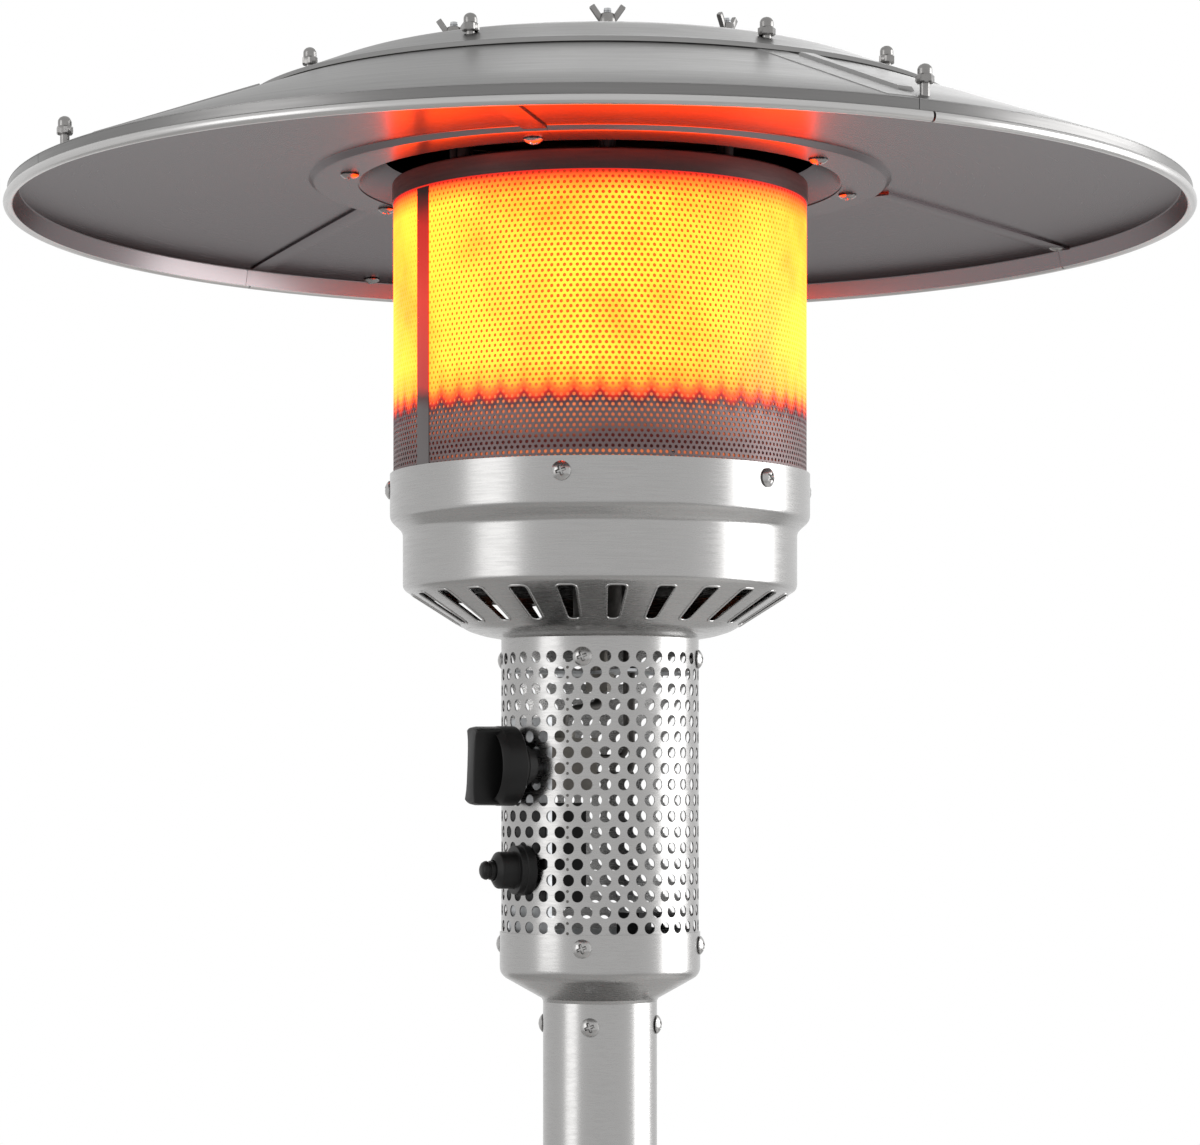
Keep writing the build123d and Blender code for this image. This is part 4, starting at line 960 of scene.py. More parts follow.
@dataclass
class Studio:
    """The floor, the light and the camera.

    Attributes:
        distance: How far the camera stands from the heater's axis, in metres.
        height: Its height in metres.
        ambient: The world's light on matt surfaces.
        shift: The lens shift that frames the head, on a 36 mm sensor.
        floor_width: The floor's width in millimetres.
    """

    distance: float = 2.2947
    height: float = 1.710
    lens: float = 99.56
    shift: Point = (0.0, 0.1797)
    ambient: float = 0.62
    floor_width: float = 7000.0

    def build(self) -> None:
        """Builds everything round the object."""
        self.camera()
        self.world()
        self.floor()
        self.lamp("key_lamp", at=(2.9, 0.3, 2.0), to=(0.0, 0.0, 1.85), size=(2.2, 2.6), power=75.0)
        self.lamp("side_lamp", at=(-2.6, -1.5, 2.2), to=(0.0, 0.0, 1.8), size=(1.4, 2.2), power=17.0)
        self.lamp("back_lamp", at=(0.6, 2.8, 3.4), to=(0.0, 0.0, 2.0), size=(1.6, 1.0), power=9.0)

    def camera(self) -> None:
        """A level camera whose lens is shifted up."""
        data = bpy.data.cameras.new("camera")
        data.lens = self.lens
        data.sensor_width = 36.0
        data.shift_x, data.shift_y = self.shift
        data.clip_end = 60.0
        camera = bpy.data.objects.new("camera", data)
        camera.location = (0.0, -self.distance, self.height)
        camera.rotation_euler = (math.radians(90), 0.0, 0.0)
        bpy.context.scene.collection.objects.link(camera)
        bpy.context.scene.camera = camera

    def world(self) -> None:
        """White to the camera, to metal and to glass, and a plain level for matt surfaces."""
        world = bpy.data.worlds.new("studio")
        bpy.context.scene.world = world
        world.use_nodes = True
        nodes, links = world.node_tree.nodes, world.node_tree.links
        nodes.clear()
        path = nodes.new("ShaderNodeLightPath")
        seen = path.outputs["Is Camera Ray"]
        for ray in ("Is Glossy Ray", "Is Transmission Ray"):
            either = nodes.new("ShaderNodeMath")
            either.operation = "MAXIMUM"
            links.new(seen, either.inputs[0])
            links.new(path.outputs[ray], either.inputs[1])
            seen = either.outputs[0]
        mix = nodes.new("ShaderNodeMixShader")
        links.new(seen, mix.inputs[0])
        for level, target in ((self.ambient, mix.inputs[1]), (1.0, mix.inputs[2])):
            light = nodes.new("ShaderNodeBackground")
            light.inputs["Color"].default_value = (level, level, level, 1.0)
            links.new(light.outputs[0], target)
        output = nodes.new("ShaderNodeOutputWorld")
        links.new(mix.outputs[0], output.inputs["Surface"])

    def floor(self) -> None:
        """A plain pale floor that stays out of the camera's view."""
        sketch = MeshSketch("studio_floor")
        half = self.floor_width / 2
        corners = [(x, y, 0.0) for x, y in oblong(-half, half, -half, half)]
        sketch.add(np.array(corners), [[0, 1, 2, 3]])
        floor = sketch.build()
        wiring = Wiring("floor_paint")
        clouds = wiring.noise(wiring.place()[0], 1.2)
        wiring.set("Base Color", wiring.ramp(clouds, ((0.3, (0.76, 0.76, 0.75)), (0.7, (0.8, 0.8, 0.79)))))
        wiring.set("Roughness", 0.9)
        floor.data.materials.append(wiring.material)

    def lamp(self, name: str, at: Sequence[float], to: Sequence[float], size: Point, power: float) -> None:
        """A soft box.

        Args:
            name: Its name.
            at: Where it is, in metres.
            to: What it points at.
            size: Its width and height.
            power: Its power in watts.
        """
        data = bpy.data.lights.new(name, "AREA")
        data.shape = "RECTANGLE"
        data.size, data.size_y = size
        data.energy = power
        lamp = bpy.data.objects.new(name, data)
        lamp.location = at
        lamp.rotation_euler = (Vector(to) - Vector(at)).to_track_quat("-Z", "Y").to_euler()
        bpy.context.scene.collection.objects.link(lamp)


@dataclass
class Fasteners:
    """Pan screws, domed cap nuts and wing nuts.

    Attributes:
        dome_foot: The height where a cap nut's dome starts.
    """

    shank: float = 3.0
    head: float = 6.4
    head_height: float = 3.8
    flats: float = 10.0
    nut_height: float = 11.8
    dome_foot: float = 8.0

    @property
    def corner(self) -> float:
        """Half a nut's width across its corners."""
        return self.flats / 2 / math.cos(math.radians(30))

    def pan_screw(self, sketch: MeshSketch, place: np.ndarray, length: float, turn: float = 0.0) -> None:
        """A domed head with a cross recess, and its shank.

        Args:
            sketch: Where it is drawn.
            place: The seat of the head, with +Z outward.
            length: The shank's length below the seat.
            turn: How far the cross is turned, in degrees.
        """
        rings, sides, chamfer = 14, 48, 0.8
        turns = [2 * math.pi * k / sides for k in range(sides)]
        points = [(0.0, 0.0, self.dome(0.0, 0.0, turn))]
        for i in range(1, rings + 1):
            radius = self.head * i / rings
            for angle in turns:
                x, y = radius * math.cos(angle), radius * math.sin(angle)
                points.append((x, y, self.dome(x, y, turn)))
        below = ((self.head, 0.35), (self.head - 0.35, 0.0), (self.shank, 0.0), (self.shank, chamfer - length),
                 (self.shank - chamfer, -length))
        for radius, height in below:
            points += [(radius * math.cos(angle), radius * math.sin(angle), height) for angle in turns]
        faces: list[list[int]] = [[0, 1 + k, 1 + (k + 1) % sides] for k in range(sides)]
        last = len(points) - sides
        for start in range(1, last, sides):
            faces += joining_quads(sides, start, start + sides)
        faces.append([last + k for k in range(sides)])
        sketch.add(np.array(points), faces, place)

    def dome(self, x: float, y: float, turn: float) -> float:
        """The head's height at a point, with the cross recess sunk in.

        Args:
            x: The point's first coordinate.
            y: The point's second coordinate.
            turn: How far the cross is turned.

        Returns:
            The height above the seat.
        """
        edge, cross_depth = 1.0, 1.9
        rise = self.head_height - edge
        sphere = (self.head**2 + rise**2) / (2 * rise)
        angle = math.radians(turn)
        a = abs(x * math.cos(angle) + y * math.sin(angle))
        b = abs(-x * math.sin(angle) + y * math.cos(angle))
        height = self.head_height + math.sqrt(max(sphere**2 - x * x - y * y, 0.0)) - sphere
        arm = max(min(1.0, (0.95 - min(a, b)) / 0.35), 0.0) * max(min(1.0, (3.5 - max(a, b)) / 0.8), 0.0)
        return height - cross_depth * arm

    def hexed(self, sketch: MeshSketch, outline: Sequence[Point], place: np.ndarray) -> None:
        """Spins an outline whose radius is held inside a hexagon.

        Args:
            sketch: Where it is drawn.
            outline: An open (radius, height) line from the foot's centre to the top's centre.
            place: The foot's place.
        """
        sides = 60
        points = []
        for radius, height in outline:
            for k in range(sides):
                angle = k * 360 / sides
                limit = self.flats / 2 / math.cos(math.radians(angle % 60 - 30))
                points.append(polar(min(radius, limit), angle, height))
        faces: list[list[int]] = []
        for start in range(0, (len(outline) - 1) * sides, sides):
            faces += joining_quads(sides, start, start + sides)
        sketch.add(np.array(points), faces, place)

    def cap_nut(self, sketch: MeshSketch, place: np.ndarray) -> None:
        """A domed nut that stands at a place.

        Args:
            sketch: Where it is drawn.
            place: The foot's place.
        """
        dome = self.flats / 2 - 0.6
        line = [(0.0, 0.0), (dome + 0.3, 0.0), (self.corner, 0.7), (self.corner, 4.4), (dome + 0.3, 5.0)]
        line.append((dome, 5.3))
        rise = self.nut_height - self.dome_foot
        for step in range(11):
            angle = math.radians(90 * step / 10)
            line.append((dome * math.cos(angle), self.dome_foot + rise * math.sin(angle)))
        self.hexed(sketch, line, place)

    def plain_nut(self, sketch: MeshSketch, place: np.ndarray, height: float) -> None:
        """A plain hexagon nut that stands at a place.

        Args:
            sketch: Where it is drawn.
            place: The foot's place.
            height: The nut's height.
        """
        foot = self.flats / 2 - 0.3
        line = [(foot, 0.0), (self.corner, 0.7), (self.corner, height - 0.7), (foot, height)]
        self.hexed(sketch, [(0.0, 0.0), *line, (0.0, height)], place)

    def wing_nut(self, sketch: MeshSketch, place: np.ndarray, span: float = 24.0, rise: float = 15.8) -> None:
        """A wing nut that stands at a place, its wings along X.

        Args:
            sketch: Where it is drawn.
            place: The foot's place.
            span: The distance between the wings' tips.
            rise: The wings' height.
        """
        hub = bent([(2.6, 0.0), (5.8, 0.0), (5.4, 6.0), (4.4, 9.6), (2.6, 9.8)], 0.6, 3, closed=True)
        sketch.spin(hub, 40, place=place)
        foot = np.array((3.4, 4.6))
        tip = np.array((span / 2 - 1.6, rise - 1.2))
        run = (tip - foot) / np.linalg.norm(tip - foot)
        across = np.array((run[1], -run[0])) * 2.0
        corners = [tuple(foot - across), tuple(foot + across), tuple(tip + across), tuple(tip - across)]
        outline = bent(corners, 0.7, 3, closed=True)
        for side in (1, -1):
            flat = [(x * side, z) for x, z in outline]
            count = len(flat)
            middle = tuple(np.mean(np.array(flat), axis=0))
            points = []
            for depth, share in ((-1.6, 0.86), (-1.15, 1.0), (1.15, 1.0), (1.6, 0.86)):
                shrunk = [between(middle, corner, share) for corner in flat]
                points += [(x, depth, z) for x, z in shrunk]
            faces: list[list[int]] = [list(range(count)), [3 * count + k for k in reversed(range(count))]]
            for start in (0, count, 2 * count):
                faces += joining_quads(count, start, start + count)
            sketch.add(np.array(points), faces, place)


@dataclass(frozen=True)
class Lattice:
    """A tube of staggered round holes.

    Attributes:
        hole: The holes' radius.
        first_angle: The plan angle of a hole in the lowest row.
        edge_parts: Points along each side of a hole's cell.
        blanks: (plan angle, height, reach) places where no hole is made.
    """

    radius: float
    wall: float
    per_row: int
    rows: int
    first_height: float
    row_step: float
    hole: float
    first_angle: float
    bottom: float
    top: float
    edge_parts: int = 1
    blanks: tuple[tuple[float, float, float], ...] = ()

    def cell(self) -> tuple[np.ndarray, np.ndarray, float, float]:
        """One cell's border and hole.

        Returns:
            The border and the hole as (across, up) arrays, then the cell's shoulder and peak heights.
        """
        across = 2 * math.pi * self.radius / self.per_row
        bulge = across**2 / (8 * self.row_step)
        low = self.row_step / 2 - bulge
        high = self.row_step / 2 + bulge
        side = across / 2
        corners = [(side, -low), (side, low), (0, high), (-side, low), (-side, -low), (0, -high)]
        border = divided(corners, [self.edge_parts] * len(corners))
        count = len(border)
        turns = np.radians(-30 + np.arange(count) * 360 / count)
        hole = np.stack([self.hole * np.cos(turns), self.hole * np.sin(turns)], axis=1)
        return np.array(border), hole, low, high

    def on_tube(self, angle: np.ndarray, height: np.ndarray, radius: float) -> np.ndarray:
        """Points on a tube from plan angles in radians."""
        return np.stack([radius * np.cos(angle), radius * np.sin(angle), height], axis=-1)

    def draw(self, sketch: MeshSketch) -> None:
        """Draws the tube.

        Args:
            sketch: Where it is drawn.
        """
        border, hole, low, high = self.cell()
        count = len(border)
        pitch = 2 * math.pi / self.per_row
        for row in range(self.rows):
            edge = border.copy()
            if row == 0:
                edge[edge[:, 1] < -low + 1e-6, 1] = -high
            if row == self.rows - 1:
                edge[edge[:, 1] > low - 1e-6, 1] = high
            height = self.first_height + row * self.row_step
            centres = math.radians(self.first_angle) + (np.arange(self.per_row) + (row % 2) / 2) * pitch
            blank = np.array([self.blanked(angle, height) for angle in centres])
            self.holes(sketch, centres[~blank], height, edge, hole)
            for angle in centres[blank]:
                for radius in (self.radius, self.radius - self.wall):
                    rim = self.on_tube(angle + edge[:, 0] / self.radius, height + edge[:, 1], radius)
                    middle = self.on_tube(np.array([angle]), np.array([height]), radius)
                    fan = [[count, k, (k + 1) % count] for k in range(count)]
                    sketch.add(np.concatenate([rim, middle]), fan)
        top_row = self.rows - 1
        self.band(sketch, self.first_height - high, self.bottom, 0)
        self.band(sketch, self.first_height + top_row * self.row_step + high, self.top, top_row)

    def blanked(self, angle: float, height: float) -> bool:
        """Whether a hole's place is left blank.

        Args:
            angle: The hole's plan angle in radians.
            height: Its height.

        Returns:
            True where a blank reaches it.
        """
        for blank, level, reach in self.blanks:
            turn = (math.degrees(angle) - blank + 180) % 360 - 180
            if math.hypot(math.radians(turn) * self.radius, height - level) < reach:
                return True
        return False

    def holes(
        self, sketch: MeshSketch, centres: np.ndarray, height: float, edge: np.ndarray, hole: np.ndarray
    ) -> None:
        """Draws one row's cells.

        Args:
            sketch: Where they are drawn.
            centres: The holes' plan angles in radians.
            height: The row's height.
            edge: The cells' border.
            hole: The hole's outline.
        """
        count = len(edge)
        total = len(centres)
        parts = []
        for line in (edge, hole):
            angle = centres[:, None] + line[None, :, 0] / self.radius
            level = np.broadcast_to(height + line[None, :, 1], angle.shape)
            parts.append(self.on_tube(angle, level, self.radius))
            parts.append(self.on_tube(angle, level, self.radius - self.wall))
        points = np.stack(parts, axis=1).reshape(-1, 3)
        faces = np.array(pierced_faces(count))
        everywhere = (faces[None] + (np.arange(total) * 4 * count)[:, None, None]).reshape(-1, 4)
        sketch.add(points, everywhere)

    def band(self, sketch: MeshSketch, start: float, end: float, row: int) -> None:
        """Draws a plain band beyond the first or the last row.

        Args:
            sketch: Where it is drawn.
            start: The height where the cells end.
            end: The tube's end.
            row: The row that it follows.
        """
        columns = self.per_row * 2 * self.edge_parts
        angles = math.radians(self.first_angle) + (row % 2) * math.pi / self.per_row
        angles = angles + np.arange(columns) * 2 * math.pi / columns
        rings = []
        inside = self.radius - self.wall
        for radius, height in ((self.radius, start), (self.radius, end), (inside, end), (inside, start)):
            rings.append(self.on_tube(angles, np.full(columns, height), radius))
        faces: list[list[int]] = []
        for ring in (0, columns, 2 * columns):
            faces += joining_quads(columns, ring, ring + columns)
        sketch.add(np.concatenate(rings), faces)


@dataclass(frozen=True)
class SlottedBand:
    """A ring of sheet, straight in section, with a row of slots.

    Attributes:
        start: The (radius, height) of its first edge.
        end: The (radius, height) of its second edge.
        inner_start: The same point on the inner face.
        inner_end: The same point on the inner face.
        first_angle: The plan angle of a slot.
        outline: The slot, as (across, along) points; along runs from the first edge.
        across_parts: Faces across each slot's cell.
        along_parts: Faces along it.
    """

    start: Point
    end: Point
    inner_start: Point
    inner_end: Point
    slots: int
    first_angle: float
    outline: tuple[Point, ...]
    across_parts: int = 12
    along_parts: int = 10

    def draw(self, sketch: MeshSketch) -> None:
        """Draws the band.

        Args:
            sketch: Where it is drawn.
        """
        length = math.dist(self.start, self.end)
        half = 180.0 / self.slots
        corners = oblong(-half, half, 0.0, length)
        border = divided(corners, (self.across_parts, self.along_parts) * 2)
        middle = (0.0, sum(p[1] for p in self.outline) / len(self.outline))
        hole = [self.hit(middle, border_point, length) for border_point in border]
        faces = pierced_faces(len(border))
        for slot in range(self.slots):
            turn = self.first_angle + slot * 360 / self.slots
            points = []
            for line in (border, hole):
                for a, b in ((self.start, self.end), (self.inner_start, self.inner_end)):
                    for angle, along in line:
                        radius, height = between(a, b, along / length)
                        points.append(polar(radius, turn + angle, height))
            sketch.add(np.array(points), faces)

    def hit(self, middle: Point, toward: Point, length: float) -> Point:
        """Where a ray from the slot's middle meets its outline.

        Args:
            middle: The slot's middle, as (angle, along).
            toward: The border point that the ray aims at, as (angle, along).
            length: The band's length.

        Returns:
            The meeting point as (angle, along).
        """
        scale = math.radians(between(self.start, self.end, middle[1] / length)[0])
        aim = (toward[0] * scale, toward[1] - middle[1])
        best = None
        for a, b in zip(self.outline, self.outline[1:] + self.outline[:1]):
            ax, ay = a[0], a[1] - middle[1]
            bx, by = b[0] - ax, b[1] - middle[1] - ay
            cross = aim[0] * by - aim[1] * bx
            if abs(cross) < 1e-9:
                continue
            reach = (ax * by - ay * bx) / cross
            share = (ax * aim[1] - ay * aim[0]) / cross
            if reach > 0 and -1e-6 <= share <= 1 + 1e-6 and (best is None or reach < best):
                best = reach
        best = best or 0.5
        along = middle[1] + aim[1] * best
        here = between(self.start, self.end, along / length)[0]
        return math.degrees(aim[0] * best / here), along


@dataclass
class SubAssembly:
    """A part of the heater that builds and dresses its own pieces.

    Attributes:
        workshop: Where pieces are dressed.
    """

    workshop: Workshop


@dataclass
class Reflector(SubAssembly):
    """The hood panels, the crown, the lining and the rolled rim.

    Attributes:
        slope: The hood's fall in degrees.
        slope_radius: Where the hood's slope is at its edge height.
        wall_drop: How far the plain wall hangs below the hood's edge.
        lap: The inner and outer radius of the lapped edge beside a hood seam.
        rib: The inner and outer radius of the pressed rib beside it.
        lining_seams: Inner and outer plan angles of the lining's seams.
        lip_radius: The lip's middle.
        corner_radius: Where the lining turns down into its lip.
        ring_outer: The outer radius of the lining's flat ring, whose underside is at the ring height.
        bevel_drop: How far the ring stands below the lining round it.
        bead: The rim bead's radius.
        bead_gaps: The plan angles of the bead's gaps.
        crown_line: The crown's face from its middle to the head of its step.
        crown_edge: The rolled edge of the step.
        crown_foot: The radius where the step meets the hood.
    """

    skin: float = 0.8
    slope: float = 20.4
    edge_radius: float = 403.7
    slope_radius: float = 402.6
    edge_height: float = 2113.1
    wall_drop: float = 6.4
    inner_radius: float = 205.0
    hood_seams: tuple[float, ...] = (28.0, 118.0, 208.0, 297.5)
    lap: Point = (250.0, 400.0)
    rib: Point = (258.0, 373.0)
    lining_seams: tuple[Point, ...] = ((14.8, 30.0), (150.5, 133.5), (260.3, 261.2))
    lip_radius: float = 402.5
    corner_radius: float = 396.2
    lip_height: float = 2113.4
    ring_outer: float = 201.0
    ring_inner: float = 167.0
    ring_height: float = 2125.8
    bevel_drop: float = 3.4
    collar_radius: float = 150.0
    collar_height: float = 2145.0
    strip_width: float = 16.0
    bead: float = 3.3
    bead_radius: float = 403.1
    bead_height: float = 2103.0
    bead_gaps: tuple[float, ...] = (29.8, 133.0, 298.8)
    gap: float = 1.6
    crown_line: tuple[Point, ...] = ((0.0, 2203.5), (152.0, 2203.5), (195.0, 2195.6), (243.6, 2175.6))
    crown_edge: Point = (247.6, 2174.4)
    crown_foot: float = 249.4

    def hood_height(self, radius: Union[float, np.ndarray]) -> Union[float, np.ndarray]:
        """The hood's outer surface at a radius."""
        return self.edge_height + (self.slope_radius - radius) * math.tan(math.radians(self.slope))

    def lining_height(self, radius: Union[float, np.ndarray]) -> Union[float, np.ndarray]:
        """The lining's underside at a radius outside its ring."""
        inner = self.ring_height + self.bevel_drop
        share = (radius - self.ring_outer) / (self.corner_radius - self.ring_outer)
        return inner + (self.lip_height - inner) * share

    def build(self) -> None:
        """Builds every piece of the reflector."""
        self.hood()
        self.crown()
        self.lining()
        self.lining_ring()
        self.rim()

    def hood(self) -> None:
        """Four panels, each with a lapped edge and a rib beside its seam."""
        edge = self.hood_height(self.edge_radius)
        line = [(self.inner_radius, self.hood_height(self.inner_radius)), (self.edge_radius, edge),
                (self.edge_radius, edge - self.skin)]
        outline = sheet(finer(bent(line, 0.4, 3), 60.0), self.skin)
        wall_line = [(self.edge_radius, edge - 0.5), (self.edge_radius, edge - self.skin - self.wall_drop)]
        wall = MeshSketch("hood_edge_wall")
        for number, start in enumerate(self.hood_seams, 1):
            end = self.hood_seams[number % 4] + (360.0 if number == 4 else 0.0)
            sketch = MeshSketch(f"hood_sector_{number}")
            sketch.spin(outline, 96, start + 0.03, end - 0.03)
            self.raised(sketch, start, self.lap, width=(-20.0, 2.0), rise=0.5, flank=0.35)
            self.raised(sketch, start, self.rib, width=(4.5, 16.5), rise=2.4, flank=1.2)
            wall.spin(sheet(wall_line, self.skin), 96, start + 0.03, end - 0.03)
            self.workshop.add(sketch.build(28.0), HOOD_STEEL, f"hood_panel_{number}")
        # The edge wall takes the hood's steel darkened as painted shade.
        self.workshop.add(wall.build(28.0), SHADED_EDGE_STEEL)

    def raised(
        self, sketch: MeshSketch, angle: float, run: Point, width: Point, rise: float, flank: float
    ) -> None:
        """A raised strip on the hood.

        Args:
            sketch: Where it is drawn.
            angle: The plan angle that it runs along.
            run: Its first and last radius.
            width: Its sideways limits.
            rise: Its height over the hood.
            flank: The width of its sloping sides.
        """
        sides = (0.0, flank / 2, flank)
        us = [run[0] + side for side in sides] + list(np.linspace(run[0] + 6, run[1] - 6, 12))
        us += [run[1] - side for side in reversed(sides)]
        vs = [width[0] + side for side in sides] + [width[1] - side for side in reversed(sides)]
        turn = math.radians(angle)

        def surface(u: np.ndarray, v: np.ndarray, lift: np.ndarray) -> np.ndarray:
            """Points over the hood at a lift."""
            x, y = u * math.cos(turn) - v * math.sin(turn), u * math.sin(turn) + v * math.cos(turn)
            return np.stack([x, y, self.hood_height(np.hypot(u, v)) + lift], -1)

        def top(u: np.ndarray, v: np.ndarray) -> np.ndarray:
            """The strip's upper face."""
            inside = np.minimum(np.minimum(u - run[0], run[1] - u), np.minimum(v - width[0], width[1] - v))
            share = np.clip(inside / flank, 0.0, 1.0)
            return surface(u, v, 0.02 + (rise - 0.02) * (3 * share**2 - 2 * share**3))

        sketch.slab(us, vs, top, lambda u, v: surface(u, v, np.full(u.shape, -0.4)))

    def crown(self) -> None:
        """The stepped plate over the panels' inner ends."""
        step = self.skin / math.cos(math.radians(self.slope))
        foot = (self.crown_foot, self.hood_height(self.crown_foot) + step)
        line = [*self.crown_line, self.crown_edge, foot]
        rounded = [line[0]] + bent(line[:4], 10.0, 8)[1:-1] + bent(line[2:], 1.2, 4)[1:]
        line = finer(rounded, 40.0)
        sketch = MeshSketch("crown_cover")
        sketch.spin(sheet(line, self.skin), 256)
        self.workshop.add(sketch.build(30.0), HOOD_STEEL, "crown_plate")

    def seam_angle(self, seam: Point, radius: np.ndarray) -> np.ndarray:
        """The plan angle of a straight lining seam at each radius.

        Args:
            seam: The seam's inner and outer plan angles.
            radius: The radii.

        Returns:
            The angles in degrees, close to the inner angle.
        """
        a = polar(self.ring_outer, seam[0])[:2]
        b = polar(self.lip_radius, seam[1])[:2]
        run = b - a
        reach = np.clip(radius, self.ring_outer, self.lip_radius)
        aa = float(run @ run)
        bb = 2 * float(a @ run)
        t = (-bb + np.sqrt(bb * bb - 4 * aa * (float(a @ a) - reach**2))) / (2 * aa)
        points = a[None, :] + t[:, None] * run[None, :]
        angle = np.degrees(np.arctan2(points[:, 1], points[:, 0]))
        return seam[0] + (angle - seam[0] + 180) % 360 - 180

    def lining(self) -> None:
        """Three lower panels with the raised ring, the lip and a strip under each seam."""
        line = [(self.ring_inner, self.ring_height), (self.ring_outer - 4.0, self.ring_height),
                (self.ring_outer, self.ring_height + self.bevel_drop), (self.corner_radius, self.lip_height),
                (self.bead_radius - 3.2, self.bead_height - 1.5)]
        outline = sheet(finer(bent(line, 0.8, 4), 14.0), -self.skin)
        radii = np.array([p[0] for p in outline])
        seams = list(self.lining_seams)
        for number, first in enumerate(seams, 1):
            second = seams[number % len(seams)]
            start = self.seam_angle(first, radii) + 0.025
            end = self.seam_angle(second, radii) - 0.025
            end = np.where(end < start, end + 360, end)
            sketch = MeshSketch(f"lining_sector_{number}")
            sketch.spin(outline, 120, start, end, ribbon_ends=True)
            self.lap_strip(sketch, first)
            # The lining panels take the steel darkened as painted shade under the reflector.
            self.workshop.add(sketch.build(28.0), SHADED_LINING_STEEL, f"lining_panel_{number}")

    def lap_strip(self, sketch: MeshSketch, seam: Point) -> None:
        """The strip under a lining seam.

        Args:
            sketch: Where it is drawn.
            seam: The seam's inner and outer plan angles.
        """
        a = polar(self.ring_outer, seam[0])
        b = polar(self.lip_radius, seam[1])
        along = (b - a) / np.linalg.norm(b - a)
        side = np.array([-along[1], along[0], 0.0])
        end = float(np.linalg.norm(b - a)) - 13.0

        def under(u: np.ndarray, v: np.ndarray, drop: Union[float, np.ndarray]) -> np.ndarray:
            """Points under the lining at a drop."""
            flat = a + u[..., None] * along + v[..., None] * side
            flat[..., 2] = self.lining_height(np.hypot(flat[..., 0], flat[..., 1])) - drop
            return flat

        def face(u: np.ndarray, v: np.ndarray) -> np.ndarray:
            """The strip's lower face, rounded off at its edges."""
            inside = np.minimum(np.minimum(v + self.strip_width, -v), end - u)
            share = np.clip(inside / 0.8, 0.0, 1.0)
            return under(u, v, 1.5 + 0.5 * np.sqrt(1 - (1 - share) ** 2))

        us = [-3.5] + list(np.linspace(3.0, end - 7.0, 14)) + [end - 0.8, end - 0.4, end]
        vs = [side - self.strip_width for side in (0.0, 0.3, 0.8)] + [-0.8, -0.3, 0.0]
        sketch.slab(us, vs, face, lambda u, v: under(u, v, -0.4))

    def lining_ring(self) -> None:
        """The flat ring over the panels' inner edges, with its raised collar."""
        level = self.ring_height + self.skin
        line = [(self.collar_radius, self.collar_height), (self.ring_inner - 1.0, level), (189.0, level)]
        sketch = MeshSketch("lining_inner_ring")
        sketch.spin(sheet(bent(line, 0.8, 3), -1.2), 192)
        # The ring takes the same steel, darkened as painted shade.
        self.workshop.add(sketch.build(), SHADED_LINING_STEEL, "lining_ring")

    def rim(self) -> None:
        """The rolled bead in three lengths."""
        sketch = MeshSketch("rim_bead")
        centre = np.array((self.bead_radius, self.bead_height))
        section = [tuple(centre + polar(self.bead, k * 15.0)[:2]) for k in range(24)]
        half = math.degrees(self.gap / 2 / self.bead_radius)
        for number, start in enumerate(self.bead_gaps):
            end = self.bead_gaps[(number + 1) % len(self.bead_gaps)]
            end += 360 if end < start else 0
            sketch.spin(section, 150, start + half, end - half)
        # The bead takes the hood's steel lightened as a painted highlight.
        self.workshop.add(sketch.build(50.0), LIT_RIM_STEEL, "rim_trim")


